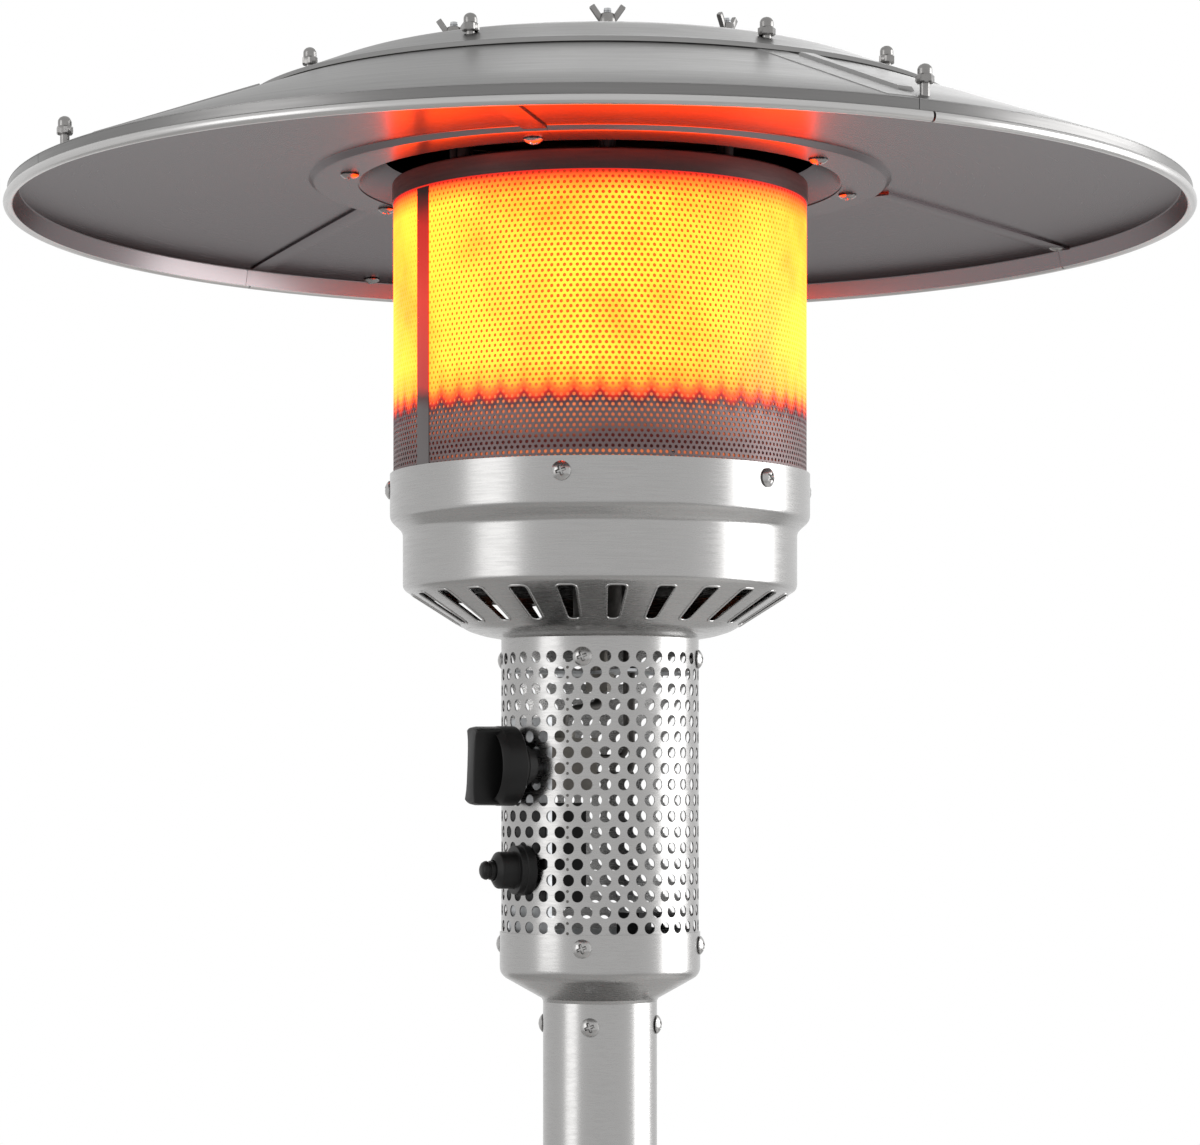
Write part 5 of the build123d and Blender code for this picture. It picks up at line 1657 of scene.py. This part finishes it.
@dataclass
class Emitter(SubAssembly):
    """The glowing screens, their cap, the seam strip and the drum.

    Attributes:
        bottom: The outer screen's foot.
        top: The cap's top.
        skirt: The cap's skirt.
        seam: The seam strip's plan angle.
        seam_run: The seam strip's foot and top.
        bore: The radius of the hole in the cap.
    """

    radius: float = 142.6
    wall: float = 0.8
    bottom: float = 1901.9
    top: float = 2126.1
    skirt: float = 14.0
    inner_radius: float = 131.0
    inner_bottom: float = 1931.9
    drum_radius: float = 112.0
    drum_top: float = 1927.9
    seam: float = 214.2
    seam_width: float = 14.3
    seam_run: Point = (1917.0, 2111.0)
    bore: float = 60.0

    def build(self) -> None:
        """Builds every piece of the emitter."""
        self.screen()
        self.seam_strip()
        self.cap()
        self.inner()
        self.drum()

    def screen(self) -> None:
        """The outer screen of fine staggered holes."""
        sketch = MeshSketch("outer_screen")
        Lattice(
            self.radius, self.wall, per_row=212, rows=58, first_height=1919.0, row_step=3.36, hole=1.28,
            first_angle=270.0, bottom=self.bottom, top=self.top - self.wall,
        ).draw(sketch)
        self.workshop.add(sketch.build(40.0), SCREEN_GLOW, "emitter_screen")

    def seam_strip(self) -> None:
        """The plain strip over the screen's joint."""
        half = math.degrees(self.seam_width / 2 / self.radius)
        outline = oblong(self.radius - 0.1, self.radius + 0.65, *self.seam_run)
        sketch = MeshSketch("screen_seam_strip")
        sketch.spin(bent(outline, 0.3, 3, closed=True), 12, self.seam - half, self.seam + half)
        # Its grey emission below the flame line is painted light; above it the red is the strip's glow.
        self.workshop.add(sketch.build(), SEAM_GLOW_AND_PAINTED_LIGHT)

    def cap(self) -> None:
        """The collar and top plate over the screen."""
        outer = self.radius + self.wall
        line = [(self.bore, self.top), (outer, self.top), (outer, self.top - self.skirt)]
        sketch = MeshSketch("screen_cap")
        sketch.spin(sheet(finer(bent(line, 1.6, 5), 30.0), self.wall), 256)
        self.workshop.add(sketch.build(30.0), CAP_STEEL, "emitter_cap")

    def inner(self) -> None:
        """The inner cylinder that glows behind the screen."""
        top, radius = self.top - self.wall, self.inner_radius
        line = [(radius - 13.0, top), (radius, top), (radius, self.inner_bottom)]
        sketch = MeshSketch("inner_screen")
        sketch.spin(sheet(finer(bent(line, 1.5, 3), 12.0), 1.0), 160)
        self.workshop.add(sketch.build(30.0), INNER_GLOW, "inner_emitter")

    def drum(self) -> None:
        """The burner's drum behind the screen's foot."""
        line = [(26.0, self.drum_top), (self.drum_radius, self.drum_top), (self.drum_radius, self.bottom)]
        sketch = MeshSketch("burner_drum_shell")
        sketch.spin(sheet(finer(bent(line, 6.0, 6), 12.0), 1.2), 160)
        self.workshop.add(sketch.build(30.0), DRUM_GLOW)


@dataclass
class Bowl(SubAssembly):
    """The burner bowl: two bands and a cone with tapered slots.

    Attributes:
        lower_radius: The lower band's radius.
        step: The heights of the step between the bands.
        first_slot: The plan angle of a slot.
        slot_run: The slots' inner and outer radius.
        slot_width: Their inner and outer width.
        columns: Faces across each slot's cell.
        foot_line: The foot from its edge to the cone's lower end.
        cone_top: The cone's upper end.
    """

    radius: float = 145.0
    lower_radius: float = 136.1
    top: float = 1925.9
    step: Point = (1886.3, 1894.6)
    sheet: float = 1.2
    slots: int = 24
    first_slot: float = 5.0
    slot_run: Point = (97.0, 130.0)
    slot_width: Point = (9.0, 14.0)
    columns: int = 12
    foot_line: tuple[Point, ...] = ((67.3, 1804.5), (67.3, 1812.9), (80.0, 1815.0), (91.0, 1818.4))
    cone_top: float = 1847.0

    def build(self) -> None:
        """Builds the bowl."""
        bands = [(self.lower_radius, self.cone_top), (self.lower_radius, self.step[0])]
        bands += [(self.radius, self.step[1]), (self.radius, self.top)]
        line = bent([*self.foot_line, *bands], 3.2, 5)
        inside = shifted(line, self.sheet)
        reaches = [b[0] - a[0] for a, b in zip(line, line[1:])]
        cone = reaches.index(max(reaches))
        sketch = MeshSketch("slotted_bowl")
        half = 180.0 / self.slots
        steps = self.slots * self.columns
        first = self.first_slot - half
        low = line[: cone + 1] + list(reversed(inside[: cone + 1]))
        sketch.spin(low, steps, first, first + 360, skip=(cone,))
        high = line[cone + 1:] + list(reversed(inside[cone + 1:]))
        sketch.spin(high, steps, first, first + 360, skip=(len(high) - 1,))
        start, end = line[cone], line[cone + 1]
        scale = math.dist(start, end) / (end[0] - start[0])
        a, b = ((radius - start[0]) * scale for radius in self.slot_run)
        narrow, wide = self.slot_width
        slot = bent([(-narrow / 2, a), (narrow / 2, a), (wide / 2, b), (-wide / 2, b)], 4.2, 6, closed=True)
        SlottedBand(
            start, end, inside[cone], inside[cone + 1], self.slots, self.first_slot, tuple(slot),
            across_parts=self.columns, along_parts=10,
        ).draw(sketch)
        self.slot_rims(sketch, start, end, slot)
        self.workshop.add(sketch.build(32.0), BODY_STEEL, "burner_bowl")

    def slot_rims(self, sketch: MeshSketch, start: Point, end: Point, slot: Sequence[Point]) -> None:
        """The pressed rim round each slot.

        Args:
            sketch: Where they are drawn.
            start: The cone's lower (radius, height).
            end: Its upper one.
            slot: The slot's outline, as (across, along) points.
        """
        run = np.array(end) - np.array(start)
        run /= np.linalg.norm(run)
        section = [(0.95 * math.cos(math.pi * k / 4), 0.6 * math.sin(math.pi * k / 4)) for k in range(8)]
        for number in range(self.slots):
            turn = self.first_slot + number * 360 / self.slots
            outward = polar(run[1], turn, -run[0])
            points = []
            for across, along in slot:
                radius = start[0] + run[0] * along
                points.append(polar(radius, turn + math.degrees(across / radius), start[1] + run[1] * along))
            stations = []
            for k, point in enumerate(points):
                way = points[(k + 1) % len(points)] - points[k - 1]
                stations.append(standing(point, way, np.cross(outward, way)))
            sketch.loop(stations, section)


@dataclass
class Shield(SubAssembly):
    """The perforated shield round the controls.

    Attributes:
        first_row: The lowest row's height.
        first_angle: The plan angle of a hole in the lowest row.
        weld_angle: The plan angle of the spot welds down its joint.
    """

    radius: float = 68.2
    wall: float = 0.8
    bottom: float = 1594.7
    top: float = 1812.6
    rows: int = 18
    row_step: float = 10.77
    first_row: float = 1615.6
    hole: float = 4.0
    per_row: int = 34
    first_angle: float = 278.3
    weld_angle: float = 251.3
    screw_angles: tuple[float, ...] = (260.0, 350.0, 80.0, 170.0)
    screw_height: float = 1798.6

    def build(self) -> None:
        """Builds the shield and its spot welds."""
        blanks = tuple((angle, self.screw_height, 6.6) for angle in self.screw_angles)
        sketch = MeshSketch("shield_tube")
        Lattice(
            self.radius, self.wall, self.per_row, self.rows, self.first_row, self.row_step, self.hole,
            self.first_angle, self.bottom, self.top, edge_parts=4, blanks=blanks,
        ).draw(sketch)
        tube = sketch.build(35.0)
        cutter = MeshSketch("control_openings")
        for height, radius in ((Controls.knob_height, 14.0), (Controls.igniter_height, 9.3)):
            cutter.spin(oblong(0.0, radius, -30.0, 30.0), 48, place=Controls.place(height))
        cut(tube, cutter.build())
        self.workshop.add(tube, BODY_STEEL, "perforated_shield")
        welds = MeshSketch("shield_spot_welds")
        for row in range(0, self.rows, 2):
            for offset in (-3.4, 3.4):
                height = self.first_row + row * self.row_step + offset
                seat = polar(self.radius - 0.05, self.weld_angle, height)
                outline = [(0.0, 0.0), (1.05, 0.0), (0.95, 0.16), (0.6, 0.22), (0.4, 0.14), (0.0, 0.1)]
                welds.spin(outline, 16, place=standing(seat, polar(1.0, self.weld_angle)))
        self.workshop.add(welds.build(), DARK_STEEL)


@dataclass
class Controls(SubAssembly):
    """The knob, its bezel and the igniter. Depths are counted outward from where their axis crosses the shield.

    Attributes:
        axis_angle: The plan angle that the controls point along.
        cross_angle: The plan angle where their axis crosses the shield.
        knob_back: The depth of the knob's back.
        skirt_front: The depth where its skirt ends.
        rim_front: The depth of its rim.
        bar_front: The depth of its grip bar's front.
        bar_turn: How far the bar is turned from upright, in degrees.
    """

    axis_angle: float = 204.0
    cross_angle: float = 220.0
    knob_height: float = 1725.0
    igniter_height: float = 1654.5
    knob_radius: float = 27.0
    knob_back: float = 7.0
    skirt_front: float = 19.6
    rim_front: float = 24.4
    bar_front: float = 38.4
    bar_turn: float = 5.0

    @classmethod
    def place(cls, height: float) -> np.ndarray:
        """A place on the control axis at a height, with +Z outward and +Y up."""
        outward = polar(1.0, cls.axis_angle)
        return standing(polar(Shield.radius, cls.cross_angle, height), outward, (-outward[1], outward[0], 0.0))

    def build(self) -> None:
        """Builds the controls."""
        self.knob()
        self.bezel()
        self.igniter()

    def knob(self) -> None:
        """A deep knob: a skirt, a dished face and a broad grip bar."""
        radius, back = self.knob_radius, self.knob_back
        sketch = MeshSketch("knob_skirt")
        outline = [
            (4.2, back), (4.2, 10.2), (23.0, 10.2), (23.6, back + 0.2), (24.2, back),
            (radius - 0.8, back), (radius, back + 0.8), (radius, self.skirt_front - 0.6),
            (radius - 0.4, self.skirt_front + 0.4), (radius - 2.6, self.rim_front - 0.5),
            (radius - 3.2, self.rim_front), (radius - 4.0, self.rim_front - 0.4), (radius - 6.0, 17.0),
            (radius - 10.0, 13.4), (radius - 16.0, 12.4), (0.0, 12.2), (0.0, 10.2),
        ]
        place = self.place(self.knob_height)
        sketch.spin(outline, 96, place=place)
        self.workshop.add(sketch.build(30.0), BLACK_PLASTIC, "control_knob", body="knob")
        bar = MeshSketch("knob_grip_bar")
        end = [polar(radius - 0.15, 68.5 + step * 43.0 / 8) for step in range(9)]
        half = [(x, y) for x, y, _ in end]
        flank = [(-8.8, 22.6), (-7.6, 18.0), (-7.0, 12.0)]
        half += [*flank, (-6.8, 0.0), *((x, -y) for x, y in reversed(flank))]
        lying = standing((0.0, 0.0, 0.0), UP, polar(1.0, -self.bar_turn))
        levels = ((11.0, 1.0), (34.5, 0.99), (37.4, 0.965), (self.bar_front, 0.92))
        bar.prism(half + [(-x, -y) for x, y in half], levels, place @ lying)
        self.workshop.add(bar.build(30.0, 1.2), BLACK_PLASTIC, body="knob")

    def bezel(self) -> None:
        """The ringed collar round the stem, in the shield's opening."""
        sketch = MeshSketch("knob_bezel")
        outline = [
            (3.3, -12.0), (12.0, -12.0), (12.0, -6.0), (13.6, -5.6), (13.6, 0.0), (13.2, 0.4), (13.6, 0.8),
            (13.6, 1.8), (13.2, 2.2), (13.6, 2.6), (13.4, 3.2), (12.6, 3.6), (9.0, 3.8), (3.3, 3.8),
        ]
        sketch.spin(outline, 72, place=self.place(self.knob_height))
        self.workshop.add(sketch.build(30.0), BEZEL_BLACK, "valve_bonnet")

    def igniter(self) -> None:
        """The stepped flange, the collar and the domed push button."""
        place = self.place(self.igniter_height)
        flange = MeshSketch("igniter_flange")
        facets = [(9.0, -4.0), (16.8, -4.0), (17.4, -3.2), (17.4, 2.2), (16.8, 2.9), (9.0, 2.9)]
        flange.spin(facets, 16, place=place)
        flange.spin(bent(oblong(6.8, 16.6, 2.5, 7.0), 0.7, 3, closed=True), 72, place=place)
        flange.spin(oblong(6.8, 9.0, -13.0, 3.0), 48, place=place)
        self.workshop.add(flange.build(30.0), BLACK_PLASTIC, "igniter_body")
        collar = MeshSketch("igniter_collar_ring")
        outline = [(6.8, 7.0), (13.0, 7.0), (12.6, 7.6), (12.6, 18.0), (12.2, 19.0), (8.2, 21.8), (7.4, 22.0)]
        outline.append((6.8, 21.6))
        collar.spin(bent(outline, 0.5, 3, closed=True), 72, place=place)
        self.workshop.add(collar.build(30.0), BLACK_PLASTIC, "igniter_collar")
        cover = MeshSketch("spark_unit_cover")
        corners = oblong(-50.0, 16.5, -35.5, 35.5)
        cover.prism(corners, ((-9.95, 1.0), (-9.1, 1.0)), self.place(self.igniter_height + 10.0))
        self.workshop.add(cover.build(30.0), BLACK_PLASTIC)
        button = MeshSketch("igniter_push_button")
        outline = [(0.0, 13.0), (6.5, 13.0), (6.5, 24.4), (6.1, 25.0), (5.6, 25.2), (5.6, 26.2), (6.1, 26.4),
                   (6.45, 26.9), (6.3, 28.0), (5.4, 29.6), (3.8, 30.6), (2.0, 30.95), (0.0, 31.0)]
        button.spin(outline, 56, place=place)
        self.workshop.add(button.build(30.0), BLACK_PLASTIC, "igniter_button", body="igniter_push")


@dataclass
class HeadSupport(SubAssembly):
    """The cup under the shield and the post.

    Attributes:
        cone_top: The height where the cup's cone starts.
        cone_foot: The height where it meets the post.
        spigot_radius: The radius of the cup's foot inside the post.
        spigot_bottom: The end of that foot.
    """

    post_radius: float = 39.4
    post_wall: float = 1.5
    post_bottom: float = 552.0
    post_top: float = 1563.1
    cup_radius: float = 69.3
    cup_wall: float = 1.2
    cup_top: float = 1611.1
    cone_top: float = 1581.5
    cone_foot: float = 1565.2
    spigot_radius: float = 37.8
    spigot_bottom: float = 1517.1

    def build(self) -> None:
        """Builds the cup and the post."""
        radius, spigot = self.cup_radius, self.spigot_radius
        inside, bore = radius - self.cup_wall, spigot - self.cup_wall
        foot = self.post_radius + 1.0
        outline = bent([(radius, self.cup_top), (radius, self.cone_top), (foot, self.cone_foot)], 5.5, 8)
        outline += [(self.post_radius, self.post_top), (spigot, self.post_top), (spigot, self.spigot_bottom),
                    (bore, self.spigot_bottom)]
        lining = [(bore, self.cone_foot - 0.7), (inside, self.cone_top + 0.8), (inside, self.cup_top)]
        outline += bent(lining, 4.4, 8)
        cup = MeshSketch("head_cup_shell")
        cup.spin(outline, 160)
        self.workshop.add(cup.build(30.0), BODY_STEEL, "head_cup")
        post = MeshSketch("post_tube")
        inner = self.post_radius - self.post_wall
        outline = oblong(inner, self.post_radius, self.post_bottom, self.post_top)
        post.spin(bent(outline, 0.3, 2, closed=True), 128)
        self.workshop.add(post.build(), BODY_STEEL, "post")


@dataclass
class Base(SubAssembly):
    """The base plate, the tank housing and the wheels.

    Attributes:
        hub_radius: The radius of the base plate's raised middle, which has a groove round it.
        anchors: The plan angles of the anchor holes, on the anchor circle.
        vent_band: The heights between which they lie.
        bead_rise: How far the housing's beads stand out.
        wheel_offset: How far each stands from the middle.
        axle: The axle's y and z.
    """

    plate_radius: float = 235.0
    plate_skin: float = 2.0
    hub_radius: float = 186.0
    hub_height: float = 44.0
    groove_radius: float = 199.0
    groove_height: float = 20.0
    anchors: tuple[float, ...] = (30.0, 150.0, 270.0)
    anchor_circle: float = 219.0
    housing_radius: float = 194.0
    housing_bottom: float = 20.3
    housing_top: float = 566.0
    skin: float = 0.8
    vents: int = 16
    vent_band: Point = (72.0, 129.0)
    bead_rise: float = 3.0
    wheel_radius: float = 44.0
    wheel_width: float = 24.0
    wheel_offset: float = 62.0
    axle: Point = (240.0, 48.5)

    def build(self) -> None:
        """Builds the lower pieces."""
        self.plate()
        self.housing()
        self.cover()
        self.wheels()

    def plate(self) -> None:
        """The pressed base with its anchor holes."""
        hub, groove, skin = self.hub_radius, self.groove_radius, self.plate_skin
        line = [(0.0, self.hub_height), (hub, self.hub_height), (hub, self.groove_height)]
        line += [(groove, self.groove_height), (groove, skin), (self.plate_radius, skin)]
        sketch = MeshSketch("pressed_base")
        sketch.spin(sheet(finer(bent(line, 4.0, 5), 40.0), skin), 192)
        plate = sketch.build(30.0)
        cutter = MeshSketch("anchor_cutter")
        for angle in self.anchors:
            cutter.spin(oblong(0.0, 4.5, -8.0, 8.0), 32, place=standing(polar(self.anchor_circle, angle)))
        cut(plate, cutter.build())
        self.workshop.add(plate, BASE_PAINT, "base_plate")

    def housing(self) -> None:
        """The upright can with a bead at each end and a row of vents."""
        radius, rise = self.housing_radius, self.bead_rise
        inside = radius - self.skin
        low, high = self.vent_band
        sketch = MeshSketch("housing_can")
        for start, bead, end in ((self.housing_bottom, 50.3, low), (high, 541.0, self.housing_top)):
            corners = [(radius, start), (radius, bead), (radius + rise, bead + rise), (radius, bead + 2 * rise),
                       (radius, end)]
            line = bent(corners, 1.6, 4)
            open_run = len(line) - 1 if end == low else 2 * len(line) - 1
            outline = line + [(r - self.skin, z) for r, z in reversed(line)]
            sketch.spin(outline, self.vents * 12, skip=(open_run,))
        slot = bent(oblong(-4.5, 4.5, 7.3, 49.3), 4.4, 6, closed=True)
        SlottedBand(
            (radius, low), (radius, high), (inside, low), (inside, high), self.vents, 180 / self.vents,
            tuple(slot), across_parts=12, along_parts=12,
        ).draw(sketch)
        self.workshop.add(sketch.build(30.0), BODY_STEEL, "tank_housing", body="housing")

    def cover(self) -> None:
        """The sloping lid and the collar round the post."""
        line = [(194.8, 550.0), (194.8, 568.8), (172.8, 582.0), (46.5, 668.0), (46.5, 682.0)]
        outline = [line[0]] + bent(line[:4], 5.0, 6)[1:-1] + bent(line[2:], 2.5, 4)[1:]
        sketch = MeshSketch("housing_lid")
        sketch.spin(sheet(finer(outline, 24.0), -self.skin), 192)
        self.workshop.add(sketch.build(30.0), BODY_STEEL, "housing_cover", body="housing")
        collar = MeshSketch("post_collar")
        outline = [(39.7, 658.0), (45.7, 658.0), (45.7, 682.0), (48.7, 682.0), (48.7, 685.0), (39.7, 685.0)]
        collar.spin(bent(outline, 0.8, 3, closed=True), 96)
        self.workshop.add(collar.build(30.0), BLACK_PLASTIC, "neck_collar", body="housing")

    def wheels(self) -> None:
        """Two moulded wheels with a ribbed tread, and the axle's caps."""
        radius, half = self.wheel_radius, self.wheel_width / 2
        side_line = [(5.05, -half), (13.0, -half), (14.5, -4.0), (radius - 9.0, -4.0), (radius - 8.0, -half),
                     (radius - 4.0, -half), (radius - 0.8, -9.6), (radius, -7.4), (radius, -4.6),
                     (radius - 0.8, -4.2), (radius - 0.8, -3.4), (radius, -3.0)]
        tread = bent(side_line + [(r, -z) for r, z in reversed(side_line)], 0.5, 2, closed=True)
        caps = MeshSketch("axle_end_caps")
        for side, name in ((-1, "left"), (1, "right")):
            place = standing((side * self.wheel_offset, self.axle[0], self.axle[1]), (1.0, 0.0, 0.0))
            sketch = MeshSketch(f"wheel_{name}_moulding")
            sketch.spin(tread, 96, place=place)
            wheel = sketch.build(30.0)
            cutter = MeshSketch("web_cutter")
            for k in range(5):
                cutter.spin(oblong(0.0, 6.5, -15.0, 15.0), 32, place=place @ standing(polar(24.0, k * 72.0)))
            cut(wheel, cutter.build())
            self.workshop.add(wheel, WHEEL_RUBBER, f"wheel_{name}", body=f"wheel_{name[0]}")
            seat = (side * (self.wheel_offset + 12.3), self.axle[0], self.axle[1])
            outline = bent([(5.0, 0.0), (9.0, 0.0), (9.0, 3.4), (7.6, 4.7), (5.0, 4.7)], 0.6, 3, closed=True)
            caps.spin(outline, 48, place=standing(seat, (side, 0.0, 0.0)))
        self.workshop.add(caps.build(30.0), ZINC, "axle_caps")


@dataclass
class Hardware(SubAssembly):
    """The screws and nuts. A row is a height, a circle is a radius and angles are plan angles.

    Attributes:
        fasteners: What draws them.
        reflector: Gives the heights of the skins.
        wing_turns: How far each wing nut is turned.
    """

    fasteners: Fasteners
    reflector: Reflector
    post_row: float = 1547.2
    cup_row: float = 1602.0
    bowl_row: float = 1916.0
    bowl_angles: tuple[float, ...] = (260.0, 320.0, 8.0, 68.0, 128.0, 180.0)
    ring_angles: tuple[float, ...] = (10.1, 80.0, 150.3, 195.8, 256.0, 325.0)
    ring_circle: float = 176.0
    crown_angles: tuple[float, ...] = (118.0, 163.0, 208.6, 248.0, 299.0, 330.0)
    crown_circle: float = 218.0
    hood_nut_angles: tuple[float, ...] = (28.0, 118.0, 208.0, 299.8)
    hood_circle: float = 386.0
    stud_angles: tuple[float, ...] = (90.0, 226.0, 272.0, 307.0)
    wing_turns: tuple[float, ...] = (15.0, 170.0, 5.0, 58.0)
    stud_radius: float = 139.0
    stud_foot: float = 2125.4
    stud_top: float = 2216.5

    def build(self) -> None:
        """Builds every fastener that shows."""
        self.head_screws()
        self.cover_screws()
        self.under_screws()
        self.nuts()
        self.wing_nuts()

    def ring_of(
        self, sketch: MeshSketch, radius: float, height: float, angles: Sequence[float], length: float
    ) -> None:
        """Screws round a tube.

        Args:
            sketch: Where they are drawn.
            radius: The tube's radius.
            height: The screws' height.
            angles: Their plan angles.
            length: Their shanks' length.
        """
        for number, angle in enumerate(angles):
            place = standing(polar(radius, angle, height), polar(1.0, angle))
            self.fasteners.pan_screw(sketch, place, length, 20.0 + 37.0 * number)

    def head_screws(self) -> None:
        """The screws of the post, the cup, the shield and the bowl."""
        sketch = MeshSketch("head_pan_screws")
        quarters = Shield.screw_angles
        self.ring_of(sketch, HeadSupport.post_radius, self.post_row, quarters, 6.0)
        self.ring_of(sketch, HeadSupport.cup_radius, self.cup_row, quarters, 7.0)
        self.ring_of(sketch, Shield.radius, Shield.screw_height, quarters, 6.0)
        self.ring_of(sketch, Bowl.radius, self.bowl_row, self.bowl_angles, 6.0)
        self.workshop.add(sketch.build(32.0), BRIGHT_STEEL, "head_screws")

    def cover_screws(self) -> None:
        """The screws of the housing's lid."""
        sketch = MeshSketch("lid_pan_screws")
        self.ring_of(sketch, 194.8, 558.0, (0.0, 90.0, 180.0, 270.0), 6.0)
        self.workshop.add(sketch.build(32.0), BRIGHT_STEEL, "cover_screws", body="housing")

    def under_screws(self) -> None:
        """The screws whose heads hang under the lining and the crown."""
        sketch = MeshSketch("reflector_pan_screws")
        under_lining = self.reflector.lining_height(self.hood_circle)
        through = self.reflector.hood_height(self.hood_circle) + 11.0 - under_lining
        under_crown = self.reflector.hood_height(self.crown_circle + self.fasteners.head) - 0.86
        for angles, circle, under, length, turn in (
            (self.ring_angles, self.ring_circle, self.reflector.ring_height, 12.0, 31.0),
            (self.hood_nut_angles, self.hood_circle, under_lining, through, 17.0),
            (self.crown_angles, self.crown_circle, under_crown, 16.0, 23.0),
        ):
            for number, angle in enumerate(angles):
                place = standing(polar(circle, angle, under), DOWN)
                self.fasteners.pan_screw(sketch, place, length, turn * number)
        self.workshop.add(sketch.build(32.0), NUT_STEEL, "reflector_screws")

    def nuts(self) -> None:
        """The domed nuts on the hood and the crown, and the plain nuts on the lining's ring."""
        sketch = MeshSketch("domed_nuts")
        on_hood = self.reflector.hood_height(self.hood_circle) + 6.9
        for number, angle in enumerate(self.hood_nut_angles):
            place = standing(polar(self.hood_circle, angle, on_hood), UP, polar(1.0, 22.0 * number))
            self.fasteners.cap_nut(sketch, place)
        on_crown = self.crown_height(self.crown_circle - 2.0) + 0.2
        for number, angle in enumerate(self.crown_angles):
            place = standing(polar(self.crown_circle, angle, on_crown), UP, polar(1.0, 17.0 * number))
            self.fasteners.cap_nut(sketch, place)
        on_ring = self.reflector.ring_height + 2.0
        for number, angle in enumerate(self.ring_angles):
            place = standing(polar(self.ring_circle, angle, on_ring), UP, polar(1.0, 13.0 * number))
            self.fasteners.plain_nut(sketch, place, 5.0)
        self.workshop.add(sketch.build(32.0), NUT_STEEL, "cap_nuts")

    def crown_height(self, radius: float) -> float:
        """The crown's outer surface between its step and its brow."""
        (brow, high), (foot, low) = self.reflector.crown_line[2:]
        return low + (high - low) * (foot - radius) / (foot - brow)

    def wing_nuts(self) -> None:
        """The wing nuts and the studs that they hold."""
        nuts = MeshSketch("stud_wing_nuts")
        studs = MeshSketch("threaded_studs")
        shanks = MeshSketch("shade_dark_stud_shanks")
        crown_top = self.reflector.crown_line[0][1]
        joint = crown_top - 3.5
        line: list[Point] = [(0.0, joint), (2.6, joint)]
        for turn in range(11):
            height = crown_top + 0.5 + turn
            line += [(2.6, height), (2.35, height + 0.25), (2.35, height + 0.5), (2.6, height + 0.75)]
        line += [(2.3, self.stud_top), (0.0, self.stud_top)]
        shank = oblong(0.0, 2.8, self.stud_foot, joint + 0.2)
        for angle, turned in zip(self.stud_angles, self.wing_turns):
            seat = polar(self.stud_radius, angle, crown_top)
            self.fasteners.wing_nut(nuts, standing(seat, UP, polar(1.0, turned)))
            studs.spin(line, 24, place=standing(polar(self.stud_radius, angle)))
            shanks.spin(shank, 24, place=standing(polar(self.stud_radius, angle)))
        self.workshop.add(nuts.build(32.0), NUT_STEEL, "wing_nuts")
        self.workshop.add(studs.build(32.0), ZINC, "reflector_studs")
        # The shanks in the hollow are painted near black as shade.
        self.workshop.add(shanks.build(32.0), SHADE_DARK_ZINC)


def main() -> None:
    """Builds the studio and the heater."""
    logging.basicConfig(level=logging.INFO, format="%(message)s")
    bpy.context.scene.view_settings.view_transform = "Standard"
    workshop = Workshop()
    Studio().build()
    reflector = Reflector(workshop)
    reflector.build()
    Emitter(workshop).build()
    Bowl(workshop).build()
    Shield(workshop).build()
    Controls(workshop).build()
    HeadSupport(workshop).build()
    Base(workshop).build()
    Hardware(workshop, Fasteners(), reflector).build()
    workshop.dress(BALLAST_IRON, "base_ballast")
    workshop.dress(BASE_PAINT, "post_leg_rear", "post_leg_left", "post_leg_right", "wheel_bracket")
    workshop.dress(ZINC, "base_bolts", "wheel_axle", "valve_bracket", "injector_cross", "valve_stem")
    # The spacers in the hollow are painted near black as shade.
    workshop.dress(SHADE_DARK_ZINC, "stud_spacers")
    workshop.dress(DARK_STEEL, "supply_tube", "mixer_tube", "burner_plate", "pilot_burner", "lead_tubes")
    workshop.dress(DRUM_GLOW, "burner_drum")
    workshop.dress(BRASS, "gas_valve", "valve_rotor", "gas_inlet", "injector")
    workshop.dress(BRIGHT_STEEL, "spark_electrode", "thermocouple")
    workshop.dress(BLACK_PLASTIC, "igniter_box", "tilt_switch")


if __name__ == "__main__":
    main()
